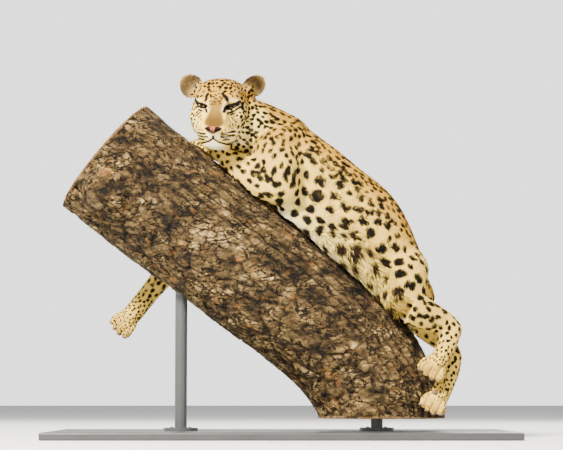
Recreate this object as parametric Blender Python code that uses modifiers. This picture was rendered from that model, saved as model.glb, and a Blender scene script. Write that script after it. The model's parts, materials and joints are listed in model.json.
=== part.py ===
"""A leopard draped along a sloping limb, life size, on a low display stand.

Metres, +Z up. The origin lies under the middle of the base. The limb slopes down from -X to +X, the
animal's left flank and its face look to -Y, and its right foreleg hangs down behind the limb.

The animal is modelled whole from lofts and ellipsoids that are fused and smoothed, and it is then parted
with thin cuts into the pieces that a person would name.
"""

import math

import bmesh
import bpy
from mathutils import Matrix, Vector

# Driving sizes
CUT_GAP = 0.0004            # left between two pieces that meet
BODY_VOXEL = 0.0055         # grid on which the body's lumps are fused
HEAD_VOXEL = 0.0030         # finer grid for the head
BODY_TRIANGLES = 2800
HEAD_TRIANGLES = 1400
LIMB_TRIANGLES = 640
EYE_RADIUS = 0.0135
EAR_WIDTH = 0.064
EAR_HEIGHT = 0.066
EAR_CUP = 0.017             # how deep the ear is hollowed
EAR_THICKNESS = 0.007
BASE_SIZE = (1.20, 0.60, 0.020)
BASE_EDGE = 0.004
ROD_RADIUS = 0.016
FLANGE_RADIUS = 0.045
FLANGE_THICKNESS = 0.008
LIMB_FLOOR = 0.052          # height of the limb's sawn lower end
LIMB_TOP = (-0.462, -0.045, 0.742)      # middle of its sawn upper end
LIMB_TOP_NORMAL = (-0.77, 0.0, 0.64)

# The limb's centre line, from above its upper end down: x, y, z, half width, half depth
LIMB = [
    (-0.540, -0.045, 0.800, 0.172, 0.176),
    (-0.452, -0.045, 0.729, 0.174, 0.176),
    (-0.327, -0.045, 0.628, 0.176, 0.174),
    (-0.213, -0.045, 0.541, 0.174, 0.170),
    (-0.076, -0.040, 0.435, 0.170, 0.167),
    (0.067, -0.022, 0.328, 0.165, 0.165),
    (0.171, -0.004, 0.237, 0.164, 0.166),
    (0.241, 0.006, 0.136, 0.165, 0.166),
    (0.273, 0.008, 0.024, 0.163, 0.164),
    (0.288, 0.008, -0.060, 0.165, 0.166),
]
KNOT = ((-0.446, -0.184, 0.636), (0.076, 0.060, 0.072))     # a healed burl on the limb's near side

# The trunk from the breast to the rump, the belly that sags on the limb, and the neck
TRUNK = [
    (-0.100, -0.010, 0.786, 0.064, 0.072),
    (-0.036, -0.016, 0.771, 0.084, 0.096),
    (0.057, -0.022, 0.696, 0.096, 0.110),
    (0.131, -0.022, 0.626, 0.106, 0.117),
    (0.208, -0.018, 0.560, 0.112, 0.119),
    (0.267, -0.010, 0.485, 0.106, 0.102),
    (0.314, -0.002, 0.418, 0.092, 0.077),
    (0.354, 0.004, 0.372, 0.066, 0.056),
]
BELLY = [
    (0.020, -0.046, 0.590, 0.074, 0.046),
    (0.100, -0.044, 0.534, 0.106, 0.047),
    (0.180, -0.040, 0.476, 0.118, 0.044),
    (0.250, -0.036, 0.414, 0.112, 0.046),
    (0.300, -0.034, 0.366, 0.090, 0.042),
]
NECK = [
    (0.004, -0.010, 0.772, 0.078, 0.090),
    (-0.060, -0.014, 0.808, 0.076, 0.084),
    (-0.104, -0.026, 0.830, 0.071, 0.077),
    (-0.134, -0.050, 0.843, 0.062, 0.070),
    (-0.148, -0.080, 0.850, 0.050, 0.056),
]

# Legs, from the trunk outwards. "Near" is the animal's left, towards -Y
NEAR_UPPER_ARM = [
    (0.034, -0.066, 0.794, 0.034, 0.034),
    (-0.018, -0.096, 0.756, 0.048, 0.054),
    (-0.010, -0.118, 0.698, 0.052, 0.060),
    (0.008, -0.124, 0.644, 0.040, 0.042),
]
NEAR_FOREARM = [
    (0.012, -0.124, 0.634, 0.038, 0.038),
    (-0.032, -0.118, 0.652, 0.046, 0.048),
    (-0.082, -0.104, 0.686, 0.044, 0.046),
    (-0.134, -0.080, 0.722, 0.036, 0.037),
    (-0.178, -0.046, 0.750, 0.031, 0.032),
]
NEAR_FOREPAW = [
    (-0.178, -0.046, 0.750, 0.031, 0.032),
    (-0.206, -0.010, 0.764, 0.034, 0.030),
    (-0.228, 0.026, 0.768, 0.036, 0.027),
]
FAR_UPPER_ARM = [
    (-0.020, 0.036, 0.786, 0.042, 0.044),
    (-0.104, 0.084, 0.742, 0.048, 0.054),
    (-0.158, 0.138, 0.668, 0.044, 0.048),
    (-0.206, 0.168, 0.596, 0.038, 0.040),
]
FAR_FOREARM = [
    (-0.206, 0.168, 0.596, 0.038, 0.040),
    (-0.264, 0.172, 0.514, 0.036, 0.039),
    (-0.322, 0.166, 0.438, 0.031, 0.034),
    (-0.368, 0.154, 0.380, 0.027, 0.029),
]
FAR_FOREPAW = [
    (-0.368, 0.154, 0.380, 0.028, 0.029),
    (-0.396, 0.140, 0.342, 0.032, 0.029),
    (-0.420, 0.124, 0.312, 0.036, 0.027),
]
NEAR_THIGH = [
    (0.318, -0.044, 0.452, 0.058, 0.066),
    (0.320, -0.094, 0.412, 0.056, 0.064),
    (0.314, -0.128, 0.364, 0.048, 0.054),
    (0.308, -0.142, 0.342, 0.040, 0.042),
]
NEAR_SHANK = [
    (0.311, -0.142, 0.338, 0.040, 0.042),
    (0.352, -0.130, 0.326, 0.038, 0.045),
    (0.402, -0.110, 0.307, 0.031, 0.040),
    (0.442, -0.094, 0.288, 0.024, 0.029),
]
NEAR_FOOT = [
    (0.444, -0.096, 0.286, 0.027, 0.027),
    (0.431, -0.112, 0.252, 0.030, 0.027),
    (0.412, -0.128, 0.214, 0.031, 0.027),
    (0.394, -0.138, 0.186, 0.035, 0.027),
]
FAR_THIGH = [
    (0.320, 0.040, 0.442, 0.060, 0.062),
    (0.338, 0.020, 0.388, 0.054, 0.056),
    (0.350, -0.022, 0.330, 0.044, 0.046),
]
FAR_SHANK = [
    (0.350, -0.030, 0.324, 0.042, 0.044),
    (0.386, -0.046, 0.286, 0.036, 0.040),
    (0.424, -0.050, 0.248, 0.029, 0.030),
    (0.446, -0.050, 0.222, 0.025, 0.026),
]
FAR_FOOT = [
    (0.448, -0.052, 0.216, 0.026, 0.026),
    (0.438, -0.068, 0.176, 0.029, 0.027),
    (0.418, -0.094, 0.132, 0.031, 0.027),
    (0.398, -0.118, 0.098, 0.035, 0.027),
]
TAIL = [
    (0.346, 0.022, 0.388, 0.036, 0.034),
    (0.378, 0.060, 0.362, 0.026, 0.026),
    (0.370, 0.116, 0.324, 0.024, 0.024),
    (0.334, 0.166, 0.276, 0.023, 0.023),
    (0.284, 0.196, 0.226, 0.023, 0.023),
    (0.224, 0.210, 0.184, 0.023, 0.023),
    (0.154, 0.214, 0.162, 0.023, 0.023),
    (0.086, 0.212, 0.172, 0.023, 0.023),
    (0.032, 0.208, 0.212, 0.022, 0.022),
    (0.006, 0.204, 0.268, 0.020, 0.020),
    (0.014, 0.202, 0.320, 0.015, 0.015),
]

NEAR_HOCK = (0.480, -0.084, 0.276, 0.026, 0.034)    # just past the point of each hock
FAR_HOCK = (0.474, -0.038, 0.206, 0.026, 0.034)

BODY_LUMPS = {
    "near_triceps": ((0.014, -0.108, 0.700), (0.044, 0.040, 0.062)),
    "near_elbow": ((0.022, -0.122, 0.630), (0.026, 0.026, 0.028)),
    "breast": ((-0.100, 0.000, 0.742), (0.062, 0.066, 0.062)),
    "brisket": ((-0.020, -0.016, 0.640), (0.088, 0.074, 0.070)),
    "near_haunch": ((0.330, -0.058, 0.434), (0.060, 0.050, 0.070)),
    "near_heel": ((0.456, -0.088, 0.288), (0.014, 0.016, 0.022)),
    "far_heel": ((0.458, -0.044, 0.220), (0.014, 0.016, 0.022)),
}
# Four toes to a paw: ball, tip, half the fan's spread, radius
TOES = {
    "near_fore_toe": ((-0.222, 0.018, 0.770), (-0.244, 0.056, 0.758), (0.018, 0.008, 0.020), 0.0140),
    "far_fore_toe": ((-0.414, 0.128, 0.316), (-0.442, 0.104, 0.288), (0.018, -0.012, -0.020), 0.0145),
    "near_hind_toe": ((0.396, -0.136, 0.194), (0.377, -0.148, 0.164), (0.024, -0.010, -0.016), 0.0142),
    "far_hind_toe": ((0.396, -0.116, 0.104), (0.380, -0.140, 0.074), (0.024, -0.010, -0.012), 0.0140),
}

# The head's own frame: its origin midway between the eyes, +x to the animal's right, +y out of the face
HEAD_ORIGIN = Vector((-0.1665, -0.125, 0.863))
HEAD_YAW = math.radians(8)      # the face turns this far towards the limb's upper end
HEAD_PITCH = math.radians(10)   # and looks down by this much
HEAD_ROLL = math.radians(3)
EYE_CENTRE = (0.0400, -0.0060, 0.0)
HEAD_CUT = (Vector((-0.092, -0.040, 0.830)), Vector((-0.63, -0.76, 0.17)))   # where head and neck part

# Cross-sections of the head, from the nape to the nose. Each is (y, outline), and the outline runs down
# one side from the top: (half width, z). Its first and last points are on the middle line
HEAD_SECTIONS = [
    (-0.150, [
        (0, 0.036), (0.036, 0.030), (0.058, 0.004), (0.062, -0.028),
        (0.050, -0.060), (0.026, -0.078), (0, -0.084),
    ]),
    (-0.115, [
        (0, 0.058), (0.040, 0.050), (0.064, 0.018), (0.070, -0.026),
        (0.056, -0.068), (0.030, -0.092), (0, -0.098),
    ]),
    (-0.082, [
        (0, 0.069), (0.044, 0.061), (0.066, 0.030), (0.078, -0.018),
        (0.064, -0.068), (0.036, -0.098), (0, -0.106),
    ]),
    (-0.050, [
        (0, 0.071), (0.042, 0.063), (0.062, 0.036), (0.078, -0.014),
        (0.064, -0.068), (0.038, -0.102), (0, -0.111),
    ]),
    (-0.022, [
        (0, 0.061), (0.038, 0.055), (0.057, 0.033), (0.072, -0.014),
        (0.060, -0.066), (0.037, -0.105), (0, -0.115),
    ]),
    (-0.002, [
        (0, 0.037), (0.032, 0.034), (0.052, 0.018), (0.062, -0.020),
        (0.053, -0.068), (0.035, -0.107), (0, -0.118),
    ]),
    (0.018, [
        (0, 0.014), (0.024, 0.010), (0.036, -0.008), (0.051, -0.036),
        (0.050, -0.072), (0.034, -0.109), (0, -0.120),
    ]),
    (0.036, [
        (0, -0.004), (0.025, -0.008), (0.034, -0.027), (0.048, -0.054),
        (0.047, -0.082), (0.032, -0.110), (0, -0.121),
    ]),
    (0.054, [
        (0, -0.021), (0.026, -0.025), (0.034, -0.042), (0.047, -0.066),
        (0.043, -0.088), (0.029, -0.110), (0, -0.120),
    ]),
    (0.070, [
        (0, -0.037), (0.025, -0.040), (0.032, -0.054), (0.041, -0.072),
        (0.036, -0.089), (0.024, -0.104), (0, -0.112),
    ]),
    (0.082, [
        (0, -0.049), (0.020, -0.051), (0.024, -0.060), (0.029, -0.073),
        (0.024, -0.085), (0.013, -0.089), (0, -0.090),
    ]),
    (0.089, [
        (0, -0.056), (0.013, -0.057), (0.016, -0.062), (0.016, -0.069),
        (0.012, -0.075), (0.006, -0.078), (0, -0.079),
    ]),
]
HEAD_LUMPS = {
    # name: (x, y, z), (half sizes), mirrored to the other side
    "brow": ((0.034, -0.014, 0.024), (0.022, 0.018, 0.011), True),
    "cheekbone": ((0.054, -0.030, -0.024), (0.022, 0.040, 0.022), True),
    "whisker_pad": ((0.024, 0.060, -0.072), (0.025, 0.025, 0.021), True),
    "ear_base": ((0.058, -0.086, 0.034), (0.026, 0.024, 0.024), True),
    "chin": ((0.000, 0.050, -0.104), (0.024, 0.022, 0.018), False),
}
THROAT = ((-0.118, -0.030, 0.790), (0.052, 0.056, 0.060))    # under the jaw, in the model's frame
NOSE = ((0.0, 0.088, -0.0655), (0.0225, 0.017, 0.0105))      # the bare leather of the nose
ORBIT = ((0.041, 0.016, -0.003), (0.021, 0.022, 0.013))     # a hollow for each eye

LEFT_EAR = ((-0.066, -0.082, 0.031), math.radians(34), math.radians(42))     # foot, turned out, leant over
RIGHT_EAR = ((0.066, -0.082, 0.029), math.radians(-8), math.radians(48))


def head_frame():
    """The matrix that takes a point of the head's own frame into the model's frame."""
    facing = Matrix.Rotation(math.pi - HEAD_YAW, 4, "Z")
    pitch = Matrix.Rotation(-HEAD_PITCH, 4, "X")
    roll = Matrix.Rotation(-HEAD_ROLL, 4, "Y")
    return Matrix.Translation(HEAD_ORIGIN) @ facing @ pitch @ roll


def empty_scene():
    for obj in list(bpy.data.objects):
        bpy.data.objects.remove(obj, do_unlink=True)


def new_collection(name):
    collection = bpy.data.collections.new(name)
    bpy.context.scene.collection.children.link(collection)
    return collection


def material(name, colour, roughness, metallic=0.0):
    made = bpy.data.materials.new(name)
    made.use_nodes = True
    shader = made.node_tree.nodes["Principled BSDF"]
    shader.inputs["Base Color"].default_value = (*colour, 1.0)
    shader.inputs["Roughness"].default_value = roughness
    shader.inputs["Metallic"].default_value = metallic
    return made


def link_mesh(name, bm, collection):
    mesh = bpy.data.meshes.new(name)
    bm.to_mesh(mesh)
    bm.free()
    obj = bpy.data.objects.new(name, mesh)
    collection.objects.link(obj)
    return obj


def as_guide(obj):
    """A cutter or a lump: it shows as wire and isn't a piece of the model."""
    obj.hide_render = True
    obj.display_type = "WIRE"
    return obj


def between(before, start, end, after, share):
    """A Catmull-Rom curve through start and end, at share of the way from one to the other."""
    square, cube = share * share, share * share * share
    return tuple(
        0.5 * (2 * b + (c - a) * share + (2 * a - 5 * b + 4 * c - d) * square
               + (3 * b - a - 3 * c + d) * cube)
        for a, b, c, d in zip(before, start, end, after)
    )


def smooth_stations(stations, steps):
    """More stations on a smooth curve through the given ones, steps to each span."""
    padded = [stations[0], *stations, stations[-1]]
    path = []
    for index in range(len(stations) - 1):
        for step in range(steps):
            path.append(between(*padded[index:index + 4], step / steps))
    path.append(stations[-1])
    return path


def end_rings(station, outward, rings):
    """Shrinking stations past an end, so that a loft closes in a dome."""
    point, reach = Vector(station[:3]), min(station[3:5])
    found = []
    for ring in range(1, rings + 1):
        angle = ring / (rings + 1) * math.pi / 2
        centre = point + outward * reach * math.sin(angle)
        shrink = math.cos(angle)
        found.append((*centre, station[3] * shrink, station[4] * shrink))
    return found


def loft(name, stations, collection, across=(0, 1, 0), sides=20, steps=5, domes=3):
    """A closed tube of elliptical rings along the stations. Half widths lie along across."""
    path = smooth_stations(stations, steps)
    points = [Vector(station[:3]) for station in path]
    first = (points[0] - points[1]).normalized()
    last = (points[-1] - points[-2]).normalized()
    path = [*reversed(end_rings(path[0], first, domes)), *path, *end_rings(path[-1], last, domes)]
    points = [Vector(station[:3]) for station in path]
    bm = bmesh.new()
    rings = []
    for index, station in enumerate(path):
        tangent = (points[min(index + 1, len(points) - 1)] - points[max(index - 1, 0)]).normalized()
        side = Vector(across)
        side = (side - tangent * side.dot(tangent)).normalized()
        up = tangent.cross(side)
        rings.append([
            bm.verts.new(
                points[index]
                + side * station[3] * math.cos(turn * math.tau / sides)
                + up * station[4] * math.sin(turn * math.tau / sides)
            )
            for turn in range(sides)
        ])
    for lower, upper in zip(rings, rings[1:]):
        for turn in range(sides):
            following = (turn + 1) % sides
            bm.faces.new((lower[turn], lower[following], upper[following], upper[turn]))
    bm.faces.new(reversed(rings[0]))
    bm.faces.new(rings[-1])
    bmesh.ops.recalc_face_normals(bm, faces=bm.faces)
    return link_mesh(name, bm, collection)


def ellipsoid(name, centre, half_sizes, collection, frame=None, detail=3):
    bm = bmesh.new()
    bmesh.ops.create_icosphere(bm, subdivisions=detail, radius=1.0)
    place = (frame or Matrix.Identity(4)) @ Matrix.Translation(centre) @ Matrix.Diagonal((*half_sizes, 1.0))
    bmesh.ops.transform(bm, matrix=place, verts=bm.verts)
    bmesh.ops.recalc_face_normals(bm, faces=bm.faces)
    return link_mesh(name, bm, collection)


def settle(obj):
    """Replaces an object's mesh with its evaluated one, and drops the modifiers."""
    bpy.context.view_layer.update()
    evaluated = obj.evaluated_get(bpy.context.evaluated_depsgraph_get())
    mesh = bpy.data.meshes.new_from_object(evaluated)
    obj.modifiers.clear()
    obj.data = mesh
    return obj


def joined(name, lumps, collection):
    """One mesh object of several overlapping lumps. The lumps are removed."""
    bm = bmesh.new()
    for lump in lumps:
        bm.from_mesh(lump.data)
        bpy.data.objects.remove(lump)
    return link_mesh(name, bm, collection)


def fuse(obj, voxel, smoothing, triangles):
    """Fuses overlapping lumps into one smooth skin of about this many triangles."""
    remesh = obj.modifiers.new("fuse", "REMESH")
    remesh.mode = "VOXEL"
    remesh.voxel_size = voxel
    smooth = obj.modifiers.new("smooth", "SMOOTH")
    smooth.factor = 0.5
    smooth.iterations = smoothing
    settle(obj)
    reduce_to(obj, triangles)
    return obj


def reduce_to(obj, triangles):
    obj.data.calc_loop_triangles()
    thin = obj.modifiers.new("thin", "DECIMATE")
    thin.ratio = min(1.0, triangles / len(obj.data.loop_triangles))
    thin.use_collapse_triangulate = True
    return settle(obj)


def combine(obj, other, operation):
    """A Boolean of obj with other, which stays as it is."""
    boolean = obj.modifiers.new("cut", "BOOLEAN")
    boolean.operation = operation
    boolean.object = other
    boolean.solver = "EXACT"
    return settle(obj)


def copy_of(obj, name, collection, grow=0.0):
    """A copy, with its surface moved outwards by grow."""
    copy = bpy.data.objects.new(name, obj.data.copy())
    collection.objects.link(copy)
    if grow:
        push = copy.modifiers.new("grow", "DISPLACE")
        push.strength = grow
        push.mid_level = 0.0
        settle(copy)
    return copy


def keep_largest(obj):
    """Drops the slivers that a cut leaves beside the main body."""
    bm = bmesh.new()
    bm.from_mesh(obj.data)
    bm.verts.ensure_lookup_table()
    unseen = set(bm.verts)
    islands = []
    while unseen:
        island, edge = set(), [next(iter(unseen))]
        while edge:
            vert = edge.pop()
            if vert in island:
                continue
            island.add(vert)
            edge.extend(link.other_vert(vert) for link in vert.link_edges)
        unseen -= island
        islands.append(island)
    islands.sort(key=len, reverse=True)
    spare = [vert for island in islands[1:] for vert in island]
    bmesh.ops.delete(bm, geom=spare, context="VERTS")
    bmesh.ops.dissolve_degenerate(bm, dist=1e-5, edges=bm.edges)
    bm.to_mesh(obj.data)
    bm.free()
    return obj


def toes(name, ball, tip, spread, radius, collection, count=4):
    """Toe lumps fanned across a paw, from its ball to its tip, the outer ones shorter."""
    ball, tip, spread = Vector(ball), Vector(tip), Vector(spread)
    lumps = []
    for toe in range(count):
        share = toe / (count - 1) * 2 - 1
        reach = 1.0 - 0.22 * abs(share)
        start = ball + spread * share * 0.75
        end = ball + (tip - ball) * reach + spread * share
        middle = start.lerp(end, 0.55) + (end - start).length * Vector((0, -0.12, 0.06))
        stations = [
            (*start, radius * 0.95, radius * 0.95),
            (*middle, radius * 1.05, radius * 1.05),
            (*end, radius, radius),
        ]
        lumps.append(loft(f"{name}_{toe}", stations, collection, sides=10, steps=2, domes=2))
    return lumps


def body_lumps(guides):
    lofts = {
        "trunk": TRUNK, "belly": BELLY, "neck": NECK, "tail": TAIL,
        "near_upper_arm": NEAR_UPPER_ARM, "near_forearm": NEAR_FOREARM, "near_forepaw": NEAR_FOREPAW,
        "far_upper_arm": FAR_UPPER_ARM, "far_forearm": FAR_FOREARM, "far_forepaw": FAR_FOREPAW,
        "near_thigh": NEAR_THIGH, "near_shank": NEAR_SHANK, "near_foot": NEAR_FOOT,
        "far_thigh": FAR_THIGH, "far_shank": FAR_SHANK, "far_foot": FAR_FOOT,
    }
    lumps = [loft(name, stations, guides) for name, stations in lofts.items()]
    for name, (centre, half_sizes) in BODY_LUMPS.items():
        lumps.append(ellipsoid(name, centre, half_sizes, guides))
    for name, (ball, tip, spread, radius) in TOES.items():
        lumps += toes(name, ball, tip, spread, radius, guides)
    return lumps


def head_form(guides):
    """The head's main form, through its cross-sections."""
    outlines = []
    for depth, half in HEAD_SECTIONS:
        ring = half + [(-width, height) for width, height in reversed(half[1:-1])]
        count = len(ring)
        outline = []
        for index in range(count):
            four = [ring[(index + step) % count] for step in (-1, 0, 1, 2)]
            outline += [between(*four, share / 3) for share in range(3)]
        outlines.append([(width, depth, height) for width, height in outline])
    bm = bmesh.new()
    padded = [outlines[0], *outlines, outlines[-1]]
    rows = []
    for index in range(len(outlines) - 1):
        for share in (0, 1 / 3, 2 / 3):
            rows.append([between(*four, share) for four in zip(*padded[index:index + 4])])
    rows.append(outlines[-1])
    rings = [[bm.verts.new(point) for point in row] for row in rows]
    sides = len(rings[0])
    for back, front in zip(rings, rings[1:]):
        for turn in range(sides):
            following = (turn + 1) % sides
            bm.faces.new((back[turn], back[following], front[following], front[turn]))
    bm.faces.new(rings[0])
    bm.faces.new(rings[-1])
    bmesh.ops.recalc_face_normals(bm, faces=bm.faces)
    bmesh.ops.transform(bm, matrix=head_frame(), verts=bm.verts)
    return link_mesh("head_form", bm, guides)


def head_lumps(guides):
    lumps = [head_form(guides), loft("nape", NECK, guides), ellipsoid("throat", *THROAT, guides)]
    for name, (centre, half_sizes, mirrored) in HEAD_LUMPS.items():
        for side in (1, -1) if mirrored else (1,):
            place = (centre[0] * side, centre[1], centre[2])
            lumps.append(ellipsoid(f"{name}_{side}", place, half_sizes, guides, head_frame()))
    return lumps


def ear(name, foot, turn, lean, collection, rings=4, sides=16):
    """A round ear, hollowed in front, with its foot in the head."""
    bm = bmesh.new()
    levels = []
    for face, hollow in (("front", EAR_CUP), ("back", EAR_CUP + EAR_THICKNESS)):
        for ring in range(rings + 1) if face == "front" else range(rings, -1, -1):
            share = ring / rings
            depth = -hollow * (1 - share ** 2) - (0 if face == "front" else EAR_THICKNESS * 0.4)
            level = []
            for turn_step in range(sides if ring else 1):
                angle = turn_step * math.tau / sides
                wide = EAR_WIDTH / 2 * (1.0 - 0.10 * math.sin(angle)) * share
                level.append(bm.verts.new((
                    wide * math.cos(angle), depth, EAR_HEIGHT / 2 * (1 + share * math.sin(angle)),
                )))
            levels.append(level)
    for inner, outer in zip(levels, levels[1:]):
        for step in range(sides):
            corners = [inner[step % len(inner)], inner[(step + 1) % sides % len(inner)],
                       outer[(step + 1) % sides % len(outer)], outer[step % len(outer)]]
            bm.faces.new(list(dict.fromkeys(corners)))
    bmesh.ops.recalc_face_normals(bm, faces=bm.faces)
    side = 1 if foot[0] > 0 else -1
    stand = (
        Matrix.Translation(foot)
        @ Matrix.Rotation(lean * side, 4, "Y")
        @ Matrix.Rotation(-turn * side, 4, "Z")
        @ Matrix.Translation((0, 0, -0.006))
    )
    bmesh.ops.transform(bm, matrix=head_frame() @ stand, verts=bm.verts)
    return link_mesh(name, bm, collection)


def region(name, stations, swell, collection):
    """A convex block round a stretch of the body, flat across its first and its last station."""
    sleeve = loft(name, [(*s[:3], s[3] + swell, s[4] + swell) for s in stations], collection,
                  sides=10, steps=1, domes=0)
    bm = bmesh.new()
    bm.from_mesh(sleeve.data)
    hull = bmesh.ops.convex_hull(bm, input=bm.verts, use_existing_faces=False)
    bm.faces.ensure_lookup_table()
    keep = {item for item in hull["geom"] if isinstance(item, bmesh.types.BMFace)}
    bmesh.ops.delete(bm, geom=[face for face in bm.faces if face not in keep], context="FACES_ONLY")
    loose = [vert for vert in bm.verts if not vert.link_faces]
    bmesh.ops.delete(bm, geom=loose, context="VERTS")
    loose = [edge for edge in bm.edges if not edge.link_faces]
    bmesh.ops.delete(bm, geom=loose, context="EDGES")
    bmesh.ops.recalc_face_normals(bm, faces=bm.faces)
    bm.to_mesh(sleeve.data)
    bm.free()
    return as_guide(sleeve)


def take(name, whole, sleeve, pieces, guides):
    """Takes the part of whole that lies in the sleeve as a piece of its own, with a gap to the rest."""
    piece = copy_of(whole, name, pieces)
    combine(piece, sleeve, "INTERSECT")
    keep_largest(piece)
    wider = copy_of(sleeve, f"{name}_gap", guides, CUT_GAP)
    combine(whole, wider, "DIFFERENCE")
    keep_largest(whole)
    bpy.data.objects.remove(wider)
    return piece


def stretch(stations, start, end):
    """The stretch of a loft from one share of its length to another, as stations."""
    path = smooth_stations(stations, 5)
    last = len(path) - 1
    return path[round(start * last):round(end * last) + 1]


def paint(objects, finish):
    for obj in objects:
        obj.data.materials.clear()
        obj.data.materials.append(finish)
        obj.data.shade_smooth()
        obj.data.set_sharp_from_angle(angle=math.radians(40))


def box(name, size, matrix, collection):
    bm = bmesh.new()
    bmesh.ops.create_cube(bm, size=1.0)
    bmesh.ops.scale(bm, vec=size, verts=bm.verts)
    bmesh.ops.transform(bm, matrix=matrix, verts=bm.verts)
    return link_mesh(name, bm, collection)


def build_limb(pieces, guides):
    """A cut length of a tree's limb with a burl, sawn square above and level below."""
    lumps = [
        loft("limb", LIMB, guides, sides=32, domes=0),
        ellipsoid("knot", *KNOT, guides),
    ]
    limb = fuse(joined("perch_limb", lumps, pieces), 0.010, 4, LIMB_TRIANGLES)
    ground = box("ground", (2, 2, 1), Matrix.Translation((0, 0, LIMB_FLOOR - 0.5)), guides)
    combine(limb, as_guide(ground), "DIFFERENCE")
    normal = Vector(LIMB_TOP_NORMAL).normalized()
    facing = normal.to_track_quat("Z", "Y").to_matrix().to_4x4()
    turned = Matrix.Translation(Vector(LIMB_TOP) + normal * 0.25) @ facing
    above = box("above", (0.8, 0.8, 0.5), turned, guides)
    combine(limb, as_guide(above), "DIFFERENCE")
    return limb


def cylinder(name, radius, bottom, top, place, collection, sides=20):
    bm = bmesh.new()
    bmesh.ops.create_cone(
        bm, cap_ends=True, segments=sides, radius1=radius, radius2=radius, depth=top - bottom
    )
    bmesh.ops.translate(bm, vec=(*place, (top + bottom) / 2), verts=bm.verts)
    return link_mesh(name, bm, collection)


def build_stand(limb, pieces, guides):
    """The base, two rods that stand in sockets of the limb, and a flange round the foot of each rod."""
    bm = bmesh.new()
    bmesh.ops.create_cube(bm, size=1.0)
    bmesh.ops.scale(bm, vec=BASE_SIZE, verts=bm.verts)
    bmesh.ops.translate(bm, vec=(0, 0, BASE_SIZE[2] / 2), verts=bm.verts)
    base = link_mesh("stand_base", bm, pieces)
    edge = base.modifiers.new("edge", "BEVEL")
    edge.width = BASE_EDGE
    edge.segments = 2
    settle(base)
    floor = BASE_SIZE[2] + CUT_GAP
    made = [base]
    for name, place, top in (("upper", (-0.262, -0.045), 0.470), ("lower", (0.250, 0.0), 0.110)):
        rod = cylinder(f"stand_rod_{name}", ROD_RADIUS, floor, top, place, pieces)
        socket = cylinder(f"socket_{name}", ROD_RADIUS + CUT_GAP, 0.0, top + CUT_GAP, place, guides)
        combine(limb, as_guide(socket), "DIFFERENCE")
        flange_top = floor + FLANGE_THICKNESS
        flange = cylinder(f"stand_flange_{name}", FLANGE_RADIUS, floor, flange_top, place, pieces)
        hole = cylinder(f"hole_{name}", ROD_RADIUS + CUT_GAP, 0.0, floor + 0.1, place, guides)
        combine(flange, as_guide(hole), "DIFFERENCE")
        made += [rod, flange]
    return made


def part_the_body(body, pieces, guides):
    """Cuts the legs and the tail from the fused body, from their outer ends inwards."""
    sleeves = [
        ("tail_tip", stretch(TAIL, 0.70, 1.0) + [(0.024, 0.201, 0.358, 0.020, 0.020)], 0.014),
        ("tail_middle", stretch(TAIL, 0.38, 0.70), 0.014),
        ("tail_root", stretch(TAIL, 0.10, 0.38), 0.014),
        ("foreleg_left_paw", NEAR_FOREPAW + [(-0.262, 0.084, 0.752, 0.044, 0.040)], 0.014),
        ("foreleg_left_forearm", stretch(NEAR_FOREARM, 0.10, 1.0), 0.008),
        ("foreleg_left_upper_arm", NEAR_UPPER_ARM + [(0.024, -0.126, 0.616, 0.040, 0.042)], 0.010),
        ("foreleg_right_paw", FAR_FOREPAW + [(-0.470, 0.088, 0.262, 0.044, 0.040)], 0.018),
        ("foreleg_right_forearm", FAR_FOREARM, 0.014),
        ("foreleg_right_upper_arm", stretch(FAR_UPPER_ARM, 0.25, 1.0), 0.012),
        ("hindleg_left_foot", NEAR_FOOT + [(0.371, -0.156, 0.140, 0.044, 0.040)], 0.014),
        ("hindleg_left_shank", stretch(NEAR_SHANK, 0.14, 1.0) + [NEAR_HOCK], 0.006),
        ("hindleg_right_foot", FAR_FOOT + [(0.372, -0.158, 0.048, 0.044, 0.040)], 0.014),
        ("hindleg_right_shank", stretch(FAR_SHANK, 0.10, 1.0) + [FAR_HOCK], 0.008),
        ("hindleg_left_thigh", NEAR_THIGH, 0.010),
        ("hindleg_right_thigh", stretch(FAR_THIGH, 0.2, 1.0), 0.010),
    ]
    made = []
    for name, stations, swell in sleeves:
        sleeve = region(f"{name}_sleeve", stations, swell, guides)
        made.append(take(name, body, sleeve, pieces, guides))
    return made


def part_the_trunk(body, pieces, guides):
    """Cuts the neck and the chest from the rest of the trunk. What stays behind is the rump."""
    blocks = {
        "neck": [(-0.022, -0.010, 0.792, 0.15, 0.15), (-0.190, -0.080, 0.920, 0.15, 0.15)],
        "trunk_chest": [(0.100, -0.020, 0.654, 0.22, 0.22), (-0.130, 0.000, 0.860, 0.22, 0.22)],
        "trunk_belly": [(0.262, -0.010, 0.500, 0.20, 0.20), (0.080, -0.020, 0.680, 0.20, 0.20)],
    }
    made = []
    for name, stations in blocks.items():
        block = region(f"{name}_block", stations, 0, guides)
        made.append(take(name, body, block, pieces, guides))
    return made


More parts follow.
